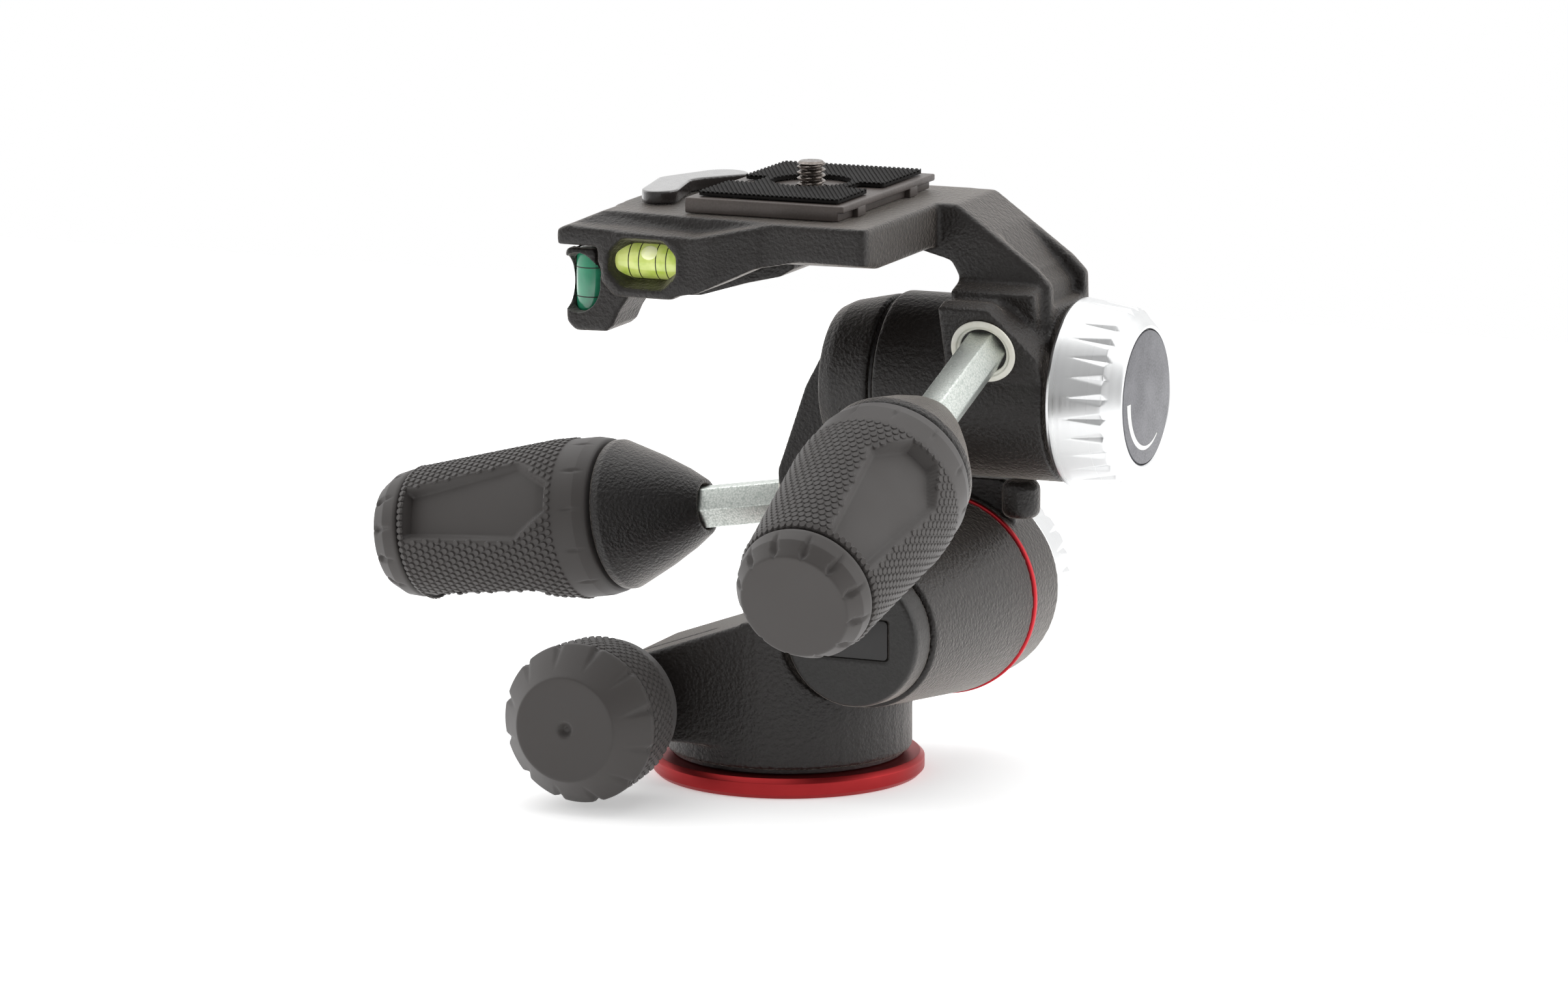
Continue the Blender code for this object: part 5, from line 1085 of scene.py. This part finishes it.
# %% [markdown]
# The grips are built at rest, where each one sits against its stop on the rod. The pads
# turn with the rod, so their angle is counted from the lever's own upright direction.
# %% Cone, sleeve and cap of both grips
def grip_cone(start):
    """The hard cone that the rod enters, slightly bulged."""
    nose = (CONE_RADIUS - NOSE_RADIUS) / 2
    bulge = [(NOSE_RADIUS + nose * 0.55, start + CONE_LENGTH * 0.22),
             (NOSE_RADIUS + nose * 1.22, start + CONE_LENGTH * 0.55)]
    return turned(eased([
        (ROD_CORNER, start + 12 * MM), (ROD_CORNER, start), (NOSE_RADIUS, start), *bulge,
        (CONE_RADIUS, start + CONE_LENGTH), (CONE_RADIUS, start + BAND_START - 0.5 * MM),
        (CORE_RADIUS, start + BAND_START - 0.5 * MM), (CORE_RADIUS, start + 12 * MM)],
        1.0 * MM, 4, closed=True), STEPS, ring=True)


def grip_sleeve(start, pads):
    """The rubber sleeve with its band, notches, pads and scales."""
    profile = eased([
        (CORE_RADIUS, start + BAND_START), (CONE_RADIUS + 0.4 * MM, start + BAND_START),
        (GRIP_RADIUS, start + BAND_START + 3.2 * MM), (GRIP_RADIUS, start + 36 * MM),
        (GRIP_RADIUS - 0.7 * MM, start + CREASE), (SEAM_RADIUS, start + SEAM - 0.3 * MM),
        (CORE_RADIUS, start + SEAM - 0.3 * MM)], 0.7 * MM)
    steps = 360
    skin = turned(finer(profile, 0.8 * MM), steps, ring=True)
    skin = grown(skin, FLUTES, Count=NOTCHES, Start=start + 23.6 * MM,
                 Peak=start + 26.5 * MM, End=start + 29.0 * MM, Width=0.55 * MM,
                 Depth=0.45 * MM, Round=2.0)
    skin = pressed_pads(skin, start, pads)
    rows = int((SEAM - SCALES_START) / SCALE_PITCH) + 1
    return grown(skin, SCALES, Rows=rows, Columns=SCALE_COLUMNS,
                 Start=start + SCALES_START + 0.6 * MM, Length=0.96 * MM, Width=0.84 * MM,
                 **SCALE_SHAPE)


def grip_cap(start):
    """The rubber cap with its twelve tapered cuts."""
    end = start + GRIP_LENGTH
    low = start + SEAM + 0.3 * MM
    profile = eased([
        (0, end), (CAP_FACE_RADIUS, end), (SEAM_RADIUS - 0.8 * MM, end - 3.4 * MM),
        (SEAM_RADIUS, low), (0, low)], 0.8 * MM, 4)
    body = turned(finer(profile, 0.5 * MM), 240)
    return grown(body, FLUTES, Count=NOTCHES, Start=low + 1.2 * MM, Peak=end - 1.6 * MM,
                 End=end + 0.3 * MM, Width=1.15 * MM, Depth=1.1 * MM, Round=1.5)


LEVERS = {
    "side": (SIDE, "side_grip", 21.5 * MM, (63, 175)),
    "front": (FRONT, "front_grip", 33.5 * MM, (47.5, 162)),
}
for side, (place, body, exposed, pads) in LEVERS.items():
    angles = [90 - pad for pad in pads]
    piece(side + "_grip_cone", grip_cone(exposed), place, body, "black_plastic",
          CONE_BLACK, side + "_grip_core")
    piece(side + "_grip_skin", grip_sleeve(exposed, angles), place, body, "dark_rubber",
          GRIP_RUBBER, side + "_grip_sleeve", sharp=50)
    piece(side + "_grip_end", grip_cap(exposed), place, body, "dark_rubber", GRIP_RUBBER,
          side + "_grip_cap")

# %% [markdown]
# ## Hexagon rods and white bushings
#
# The rods are cold drawn hexagon steel, so their corners are rounded a little. Each one
# turns in a white nylon bushing that stands slightly proud of its lug.
# %% Rods and bushings
ROD_FLATS = 9.0 * MM
ROD_END = 64.0 * MM
STUD_RADIUS = 2.5 * MM
STUD_LENGTHS = {"side": 30.0 * MM, "front": 10.0 * MM}
BUSHING_DEPTH = 3.7 * MM
BUSHING_PROUD = 0.7 * MM
BUSHING_RADIUS = 6.9 * MM
BUSHING_FLANGE = 7.4 * MM


def hexagon(flats):
    """Six corners round the axle, from the size across the flats."""
    corner = flats / 2 / math.cos(math.radians(30))
    return [(corner * math.cos(math.radians(60 * k)), corner * math.sin(math.radians(60 * k)))
            for k in range(6)]


for side, (place, body, exposed, pads) in LEVERS.items():
    carrier = {"side": "tilt", "front": "platform"}[side]
    outline = eased(hexagon(ROD_FLATS), 0.7 * MM, 3, closed=True)
    bar = slab(outline, 0.3 * MM - BUSHING_DEPTH, exposed + ROD_END, 0.25 * MM)
    stud = turned([(0, -STUD_LENGTHS[side]), (STUD_RADIUS, -STUD_LENGTHS[side]),
                   (STUD_RADIUS, 0), (0, 0)], 32)
    piece(side + "_hexagon_rod", joined(bar, stud), place, side + "_rod", "zinc_steel",
          ROD_ZINC, side + "_lever_rod", sharp=25)
    bushing = turned(eased([
        (ROD_CORNER, -BUSHING_DEPTH), (BUSHING_RADIUS, -BUSHING_DEPTH),
        (BUSHING_RADIUS, 0.1 * MM), (BUSHING_FLANGE, 0.1 * MM),
        (BUSHING_FLANGE, BUSHING_PROUD), (6.2 * MM, BUSHING_PROUD + 0.2 * MM),
        (5.9 * MM, BUSHING_PROUD - 0.2 * MM), (ROD_CORNER, BUSHING_PROUD - 0.3 * MM)],
        0.3 * MM, closed=True), ring=True)
    piece(side + "_white_bushing", bushing, place, carrier, "white_nylon", WHITE_NYLON,
          side + "_clamp_bushing")

# %% [markdown]
# ## The pan lock knob
#
# The knob that locks the pan axis is one rubber cup over a hard core. Its bevel has
# twelve lens shaped grooves, its rim carries the same scales as the grips, and its flat
# face has a small moulded dimple in the middle.
# %% Pan lock knob
PAN_KNOB_LENGTH = 26.0 * MM
PAN_KNOB_RADIUS = 17.5 * MM
PAN_FACE_RADIUS = 11.4 * MM
PAN_BEVEL = 7.6 * MM
PAN_RIM_START = 4.6 * MM
PAN_CORE_RADIUS = 11.7 * MM
PAN_CORE_LENGTH = 21.0 * MM
PAN_COLUMNS = 60
DIMPLE_RADIUS = 1.8 * MM


def pan_knob_cup():
    """The rubber cup with its grooves and its scaled rim."""
    bevel = PAN_KNOB_LENGTH - PAN_BEVEL
    profile = eased([
        (0, PAN_KNOB_LENGTH - 1.0 * MM), (0.6 * MM, PAN_KNOB_LENGTH - 1.4 * MM),
        (DIMPLE_RADIUS, PAN_KNOB_LENGTH), (PAN_FACE_RADIUS, PAN_KNOB_LENGTH),
        (PAN_KNOB_RADIUS - 0.1 * MM, bevel + 0.4 * MM), (PAN_KNOB_RADIUS, bevel - 0.6 * MM),
        (PAN_KNOB_RADIUS - 0.6 * MM, bevel - 1.2 * MM),
        (PAN_KNOB_RADIUS - 0.6 * MM, PAN_KNOB_LENGTH / 2),
        (PAN_KNOB_RADIUS - 1.3 * MM, 5 * MM), (PAN_KNOB_RADIUS - 2.5 * MM, 0),
        (PAN_CORE_RADIUS, 0), (PAN_CORE_RADIUS, PAN_CORE_LENGTH), (0, PAN_CORE_LENGTH)],
        0.8 * MM, 4)
    cup = turned(finer(profile, 0.6 * MM), 240)
    cup = grown(cup, FLUTES, Count=NOTCHES, Start=bevel - 1.5 * MM, Peak=bevel - 0.2 * MM,
                End=bevel + 5.8 * MM, Width=1.2 * MM, Depth=0.95 * MM, Round=1.5)
    plain = cup.attributes.new("plain", "FLOAT", "POINT")
    for point, mark in zip(cup.vertices, plain.data):
        mark.value = 0.0 if PAN_RIM_START < point.co.z < bevel - 1.6 * MM else 1.0
    rows = int((bevel - PAN_RIM_START) / SCALE_PITCH)
    return grown(cup, SCALES, Rows=rows, Columns=PAN_COLUMNS, Start=PAN_RIM_START,
                 Length=0.95 * MM, Width=0.82 * MM, **SCALE_SHAPE)


piece("pan_knob_cup", pan_knob_cup(), PAN_KNOB, "pan_knob", "dark_rubber", GRIP_RUBBER,
      "pan_knob_grip", sharp=50)

# %% [markdown]
# ## The camera plate, its pad and its screw
#
# The plate slides into the platform and is screwed under the camera. Its rubber pad has
# fine slanting ribs that keep the camera from turning, and a round opening that shows
# the head of the 1/4 inch screw.
# %% Camera plate with its side tabs
plate_low, plate_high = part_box("camera_plate")
middle = (plate_low + plate_high) / 2
PLATE_FLANGE = 3.4 * MM
FOOT_TOP = 12.6 * MM
FOOT_BOTTOM = 15.0 * MM
FOOT_HALF = 23.0 * MM
SCREW_HOLE = 3.5 * MM
SEAT_RADIUS = 8.5 * MM
SEAT_TOP = 123.4 * MM
half_x = (plate_high.x - plate_low.x) / 2
half_y = (plate_high.y - plate_low.y) / 2


def block(low_corner, high_corner, edge):
    """A block with broken edges between two corners."""
    (x0, y0, z0), (x1, y1, z1) = low_corner, high_corner
    return slab([(x0, y0), (x1, y0), (x1, y1), (x0, y1)], z0, z1, edge)


def camera_plate():
    """The flange with a channel along its right side, two tabs and the dovetail foot."""
    top = plate_high.z
    low_edge = top - PLATE_FLANGE
    lip = 1.5 * MM
    channel = 1.3 * MM
    flange = block((-half_x, -half_y, top - lip), (half_x, half_y, top), 0.35 * MM)
    web = block((-half_x, -half_y, low_edge), (half_x - channel, half_y, top - lip / 2),
                0.35 * MM)
    tabs = [block((half_x - 2 * channel, y - 2.2 * MM, low_edge),
                  (half_x, y + 2.2 * MM, top - 1.0 * MM), 0.25 * MM)
            for y in (-16 * MM, 14 * MM)]
    foot = slab([(-FOOT_TOP, low_edge), (-FOOT_BOTTOM, plate_low.z),
                 (FOOT_BOTTOM, plate_low.z), (FOOT_TOP, low_edge),
                 (FOOT_TOP, low_edge + MM), (-FOOT_TOP, low_edge + MM)], -FOOT_HALF,
                FOOT_HALF, 0.2 * MM)
    foot.transform(Matrix.Rotation(math.pi / 2, 4, "X"))
    hole = turned([(0, 0), (SCREW_HOLE, 0), (SCREW_HOLE, 1.0), (0, 1.0)], 48)
    seat = turned([(0, 0), (SEAT_RADIUS, 0), (SEAT_RADIUS, SEAT_TOP), (0, SEAT_TOP)], 48)
    return carved(flange, [web, foot, *tabs], [hole, seat])


plate_place = Matrix.Translation((middle.x, middle.y, 0))
piece("painted_camera_plate", camera_plate(), plate_place, "camera_plate", "plate_paint",
      PLATE_PAINT, "camera_plate", sharp=25)

# %% [markdown]
# The pad's ribs follow a rule, so Geometry Nodes lay them: a row of long bars turned a
# little off square, cut to the pad's own outline with a boolean, so that they end at its
# edge, at its notches and at its round opening.
# %% Ribbed rubber pad
def rib_tree():
    """A row of slanting bars, kept only where the given pad is."""
    tree, size = new_tree("pad ribs", Count="Int", Pitch="Float", Length="Float",
                          Width="Float", Height="Float", Base="Float", Turn="Float",
                          Cover="Material")
    line = add(tree, "GeometryNodeMeshLine", mode="OFFSET",
               sockets={"Count": size["Count"]})
    back = sums(tree, "MULTIPLY", size["Count"], -0.5)
    first = sums(tree, "MULTIPLY", back, size["Pitch"])
    step = spot_at(tree, size["Pitch"], 0.0, 0.0)
    tree.links.new(spot_at(tree, first, 0.0, size["Base"]).outputs[0],
                   line.inputs["Start Location"])
    tree.links.new(step.outputs[0], line.inputs["Offset"])
    shape = spot_at(tree, size["Width"], size["Length"], size["Height"])
    bar = add(tree, "GeometryNodeMeshCube", shape)
    bars = add(tree, "GeometryNodeInstanceOnPoints", line,
               sockets={"Instance": bar.outputs["Mesh"]})
    solid = add(tree, "GeometryNodeRealizeInstances", bars)
    twist = spot_at(tree, 0.0, 0.0, size["Turn"])
    turned_bars = add(tree, "GeometryNodeTransform", solid, sockets={"Rotation": twist})
    raised = spot_at(tree, 0.0, 0.0, size["Height"])
    lifted = add(tree, "GeometryNodeTransform", size["Geometry"],
                 sockets={"Translation": raised})
    kept = add(tree, "GeometryNodeMeshBoolean", operation="INTERSECT", solver="EXACT")
    tree.links.new(turned_bars.outputs[0], kept.inputs["Mesh 2"])
    tree.links.new(lifted.outputs[0], kept.inputs["Mesh 2"])
    both = add(tree, "GeometryNodeJoinGeometry", kept)
    tree.links.new(size["Geometry"], both.inputs[0])
    covered = add(tree, "GeometryNodeSetMaterial", both, sockets={"Material": size["Cover"]})
    add(tree, "NodeGroupOutput", covered)
    return tree


pad_low, pad_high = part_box("rubber_pad")
RIB_HEIGHT = 0.22 * MM
RIB_PITCH = 0.95 * MM
RIB_WIDTH = 0.5 * MM
RIB_COUNT = 70
RIB_TURN = math.radians(28)
PAD_HOLE = 8.8 * MM
NOTCH_LOW = -7.4 * MM
NOTCH_HIGH = 1.6 * MM
NOTCH_DEPTH = 5.6 * MM
pad_x = (pad_high.x - pad_low.x) / 2
pad_y = (pad_high.y - pad_low.y) / 2
RIBS = rib_tree()


def pad_slab():
    """The pad's outline with both side notches and its round opening."""
    outline = eased([
        (-pad_x, -pad_y), (pad_x, -pad_y), (pad_x, NOTCH_LOW),
        (pad_x - NOTCH_DEPTH, NOTCH_LOW), (pad_x - NOTCH_DEPTH, NOTCH_HIGH),
        (pad_x, NOTCH_HIGH), (pad_x, pad_y), (-pad_x, pad_y), (-pad_x, NOTCH_HIGH),
        (NOTCH_DEPTH - pad_x, NOTCH_HIGH), (NOTCH_DEPTH - pad_x, NOTCH_LOW),
        (-pad_x, NOTCH_LOW)], 0.8 * MM, closed=True)
    drill = turned([(0, 0), (PAD_HOLE, 0), (PAD_HOLE, 1.0), (0, 1.0)], 64)
    return carved(slab(outline, pad_low.z, pad_high.z - RIB_HEIGHT), (), [drill])


pad = grown(pad_slab(), RIBS, Count=RIB_COUNT, Pitch=RIB_PITCH, Length=90 * MM,
            Width=RIB_WIDTH, Height=RIB_HEIGHT * 2, Base=pad_high.z - RIB_HEIGHT,
            Turn=RIB_TURN, Cover=PAD_RUBBER)
piece("ribbed_camera_pad", pad, plate_place, "camera_plate", "dark_rubber", PAD_RUBBER,
      "rubber_pad", sharp=25)

# %% [markdown]
# The screw is a turned rod with a wide flat head. Its 1/4 inch thread has 20 turns to
# the inch, which is a pitch of 1.27 mm, and it starts with a small chamfer.
# %% Camera screw
screw_low, screw_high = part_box("camera_screw")
SCREW_RADIUS = 3.175 * MM
HEAD_RADIUS = (screw_high.x - screw_low.x) / 2
HEAD_TOP = screw_low.z + 2.4 * MM
SCREW_PITCH = 1.27 * MM
screw = turned(finer([
    (0, screw_high.z), (SCREW_RADIUS - 0.7 * MM, screw_high.z),
    (SCREW_RADIUS, screw_high.z - 0.6 * MM), (SCREW_RADIUS, HEAD_TOP),
    (HEAD_RADIUS - 0.3 * MM, HEAD_TOP), (HEAD_RADIUS, HEAD_TOP - 0.3 * MM),
    (HEAD_RADIUS, screw_low.z), (0, screw_low.z)], 0.16 * MM), 64)
screw = grown(screw, THREAD, Pitch=SCREW_PITCH, Depth=0.75 * MM, Low=HEAD_TOP,
              High=screw_high.z + SCREW_PITCH, Radius=SCREW_RADIUS)
piece("quarter_inch_screw", screw, plate_place, "camera_screw", "zinc_steel", SCREW_STEEL,
      "camera_screw")

# %% [markdown]
# ## The two spirit levels
#
# The flat level lies behind a window in the casting and the plumb level stands in the
# block beside it. A vial is a clear tube of tinted liquid with a bubble and printed
# rings. Light passes through the real ones, so their colour stays bright even in the
# shade of their frames: the flat level's liquid and its bubble get a faint painted glow,
# an emission that stands in for that light.
# %% Vials, rings and bubbles
VIALS = {
    "level": (LEVEL_LIQUID, Matrix.Rotation(math.pi / 2, 4, "Y"), 16.4, 4.1,
              (-4.3, -1.9, 2.1, 4.5)),
    "plumb": (PLUMB_LIQUID, STILL, 14.6, 3.6, (-3.4, 3.0)),
}
RING_HALF = 0.12 * MM
for name, (liquid, lie, length, radius, marks) in VIALS.items():
    length, radius = length * MM, radius * MM
    place = Matrix.Translation(VIAL_PLACES[name]) @ lie
    tube = turned(eased([(0, -length / 2), (radius, -length / 2), (radius, length / 2),
                         (0, length / 2)], 1.6 * MM, 5), 64)
    piece(name + "_tube", tube, place, "platform", "level_vial", liquid, name + "_vial",
          sharp=50)
    low, high = radius - 0.1 * MM, radius + 0.02 * MM
    bands = []
    for mark in marks:
        start, end = (mark * MM + side * RING_HALF for side in (-1, 1))
        bands.append(turned(eased([(low, start), (high, start), (high, end), (low, end)],
                                  0.02 * MM, closed=True), 64, ring=True))
    piece(name + "_rings", joined(*bands), place, "platform", "level_vial", LINE_BLACK)

# %% [markdown]
# The air bubble of the flat level floats against the top of its tube. It is drawn as a
# pale flattened drop that just breaks the surface, with a darker rim of liquid round it.
# %% Bubble
BUBBLE_SIZE = (2.1, 0.9, 1.7)
BUBBLE_SHIFT = (0.4, -3.1, 2.0)
BUBBLE_TIP = math.radians(-35)
bubble = drop(MM, MM, 32)
bubble.transform(Matrix.Diagonal((*BUBBLE_SIZE, 1)))
bubble_place = Matrix.Translation(VIAL_PLACES["level"] + Vector(BUBBLE_SHIFT) * MM) @ (
    Matrix.Rotation(BUBBLE_TIP, 4, "X"))
# BUBBLE_PALE gives the bubble a painted glow, an emission that stands in for light coming
# through the vial.
piece("level_bubble", bubble, bubble_place, "platform", "level_vial", BUBBLE_PALE, sharp=60)

# %% [markdown]
# ## Solids that keep their own shape
#
# Washers, nuts, springs, the spindles and the rod stops are already right as solids, and
# most of them show only as a thin edge. They keep their meshes and get the finish of
# what they are made of.
# %% Finishes for the carried over solids
CARRIED = {
    ROD_ZINC: ("pan_retaining_ring", "pan_clamp_nut", "pan_lock_screw", "side_clamp_nut",
               "front_clamp_nut", "lever_pivot_pin"),
    SPRING_STEEL: ("lateral_wave_spring", "front_wave_spring", "lever_return_spring"),
    PLASTIC_BLACK: ("pan_slip_ring", "front_slip_washer", "lateral_friction_washer",
                    "front_friction_washer", "pan_knob_core", "side_lever_rod_stop",
                    "front_lever_rod_stop"),
    SATIN_ALUMINIUM["lateral"]: ("lateral_spindle",),
    SATIN_ALUMINIUM["front"]: ("front_tilt_spindle",),
}
for cover, nodes in CARRIED.items():
    for node in nodes:
        for holder in frame["nodes"][node].material_slots:
            holder.material = cover
print("carried over:", sum(len(nodes) for nodes in CARRIED.values()))

# %% [markdown]
# ## Floor, light and backdrop
#
# The head stands on a white sweep in soft light from all round, as in a light tent: wide
# panels to the left, the right and above, and a dimmer side by the camera. The camera
# and shiny metal see a white world, while what lights the object is kept lower, so that
# a colour renders as it is written. The table is lit from below as well, which is why
# the shadows on it are pale.
# %% White sweep and light tent
FLOOR_HALF = 0.62
FLOOR_GLOW = 0.38
TOWARD_CAMERA = (0.37, -0.90, 0.22)
HEAD_MIDDLE = Vector((0, 0, 0.07))
grid = bmesh.new()
bmesh.ops.create_grid(grid, x_segments=1, y_segments=1, size=FLOOR_HALF)
sheet = bpy.data.meshes.new("white_sweep")
grid.to_mesh(sheet)
grid.free()
floor = bpy.data.objects.new("white_sweep", sheet)
bpy.context.scene.collection.objects.link(floor)
floor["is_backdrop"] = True

paper, tree, place = blank_finish("white acrylic table lit from below")
tone = blend(tree, grain(tree, place, 30.0), "#fdfdfd", "#fafafa")
matt = add(tree, "ShaderNodeBsdfDiffuse", tone)
lit = add(tree, "ShaderNodeEmission", tone, FLOOR_GLOW)
add(tree, "ShaderNodeOutputMaterial", add(tree, "ShaderNodeAddShader", matt, lit))
sheet.materials.append(paper)

world = bpy.data.worlds.new("light tent")
bpy.context.scene.world = world
world.use_nodes = True
tree = world.node_tree
tree.nodes.clear()
sight = add(tree, "ShaderNodeTexCoord").outputs["Generated"]
facing = add(tree, "ShaderNodeVectorMath", sight, TOWARD_CAMERA,
             operation="DOT_PRODUCT").outputs["Value"]
glow = ranged(tree, facing, -0.7, 0.95, 1.5, 0.30)
mirror = ranged(tree, facing, 0.1, 0.9, 1.0, 0.42)
ray = add(tree, "ShaderNodeLightPath")
tent = add(tree, "ShaderNodeMix", ray.outputs["Is Glossy Ray"], glow, mirror,
           data_type="FLOAT")
seen = sums(tree, "MAXIMUM", ray.outputs["Is Camera Ray"], ray.outputs["Is Transmission Ray"])
level = add(tree, "ShaderNodeMix", seen, tent, 1.0, data_type="FLOAT")
add(tree, "ShaderNodeOutputWorld", add(tree, "ShaderNodeBackground", hue("#ffffff"), level))


def panel(name, spot, width, height, power):
    """A soft rectangular light that faces the head."""
    light = bpy.data.lights.new(name, "AREA")
    light.shape = "RECTANGLE"
    light.size = width
    light.size_y = height
    light.energy = power
    lamp = bpy.data.objects.new(name, light)
    bpy.context.scene.collection.objects.link(lamp)
    lamp.location = spot
    aim = HEAD_MIDDLE - Vector(spot)
    lamp.rotation_euler = aim.to_track_quat("-Z", "Y").to_euler()


panel("left_panel", (-1.3, 0.1, 0.9), 1.4, 1.4, 3.0)
panel("right_panel", (1.3, 0.5, 0.7), 1.2, 1.2, 5.0)
panel("top_panel", (-0.1, 0.5, 1.5), 2.0, 2.0, 9.0)
print("lights:", len(bpy.data.lights))

# %% [markdown]
# ## The camera
#
# The picture was taken from a little above, to the right of the side lever, from about
# 1.7 m away with a long lens, so lines stay nearly parallel. The camera's place is given
# from the pan axis, and its lens from a full frame sensor.
# %% Camera at the photograph's angle
LENS_MM = 173.35
CAMERA_FROM_PAN = Vector((632.04, -1496.53, 374.14)) * MM
CAMERA_TURN = (79.12, 0.059, 22.919)
eye = bpy.data.cameras.new("product_camera")
eye.lens = LENS_MM
eye.sensor_width = 36
eye.clip_end = 20
camera = bpy.data.objects.new("product_camera", eye)
bpy.context.scene.collection.objects.link(camera)
camera.location = PAN.translation + CAMERA_FROM_PAN
camera.rotation_euler = [math.radians(angle) for angle in CAMERA_TURN]
bpy.context.scene.camera = camera
bpy.context.scene.view_settings.view_transform = "Standard"

# %% [markdown]
# ## Print both boxes
#
# The dressed head must keep the size of its solids, so both boxes are printed side by side.
# %% Print both boxes
boxes = {"cad": [list(corner) for corner in CAD_BOX],
         "visual": [list(corner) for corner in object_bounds()]}
for label, (low, high) in boxes.items():
    print(label, [round((b - a) / MM, 1) for a, b in zip(low, high)], "mm")
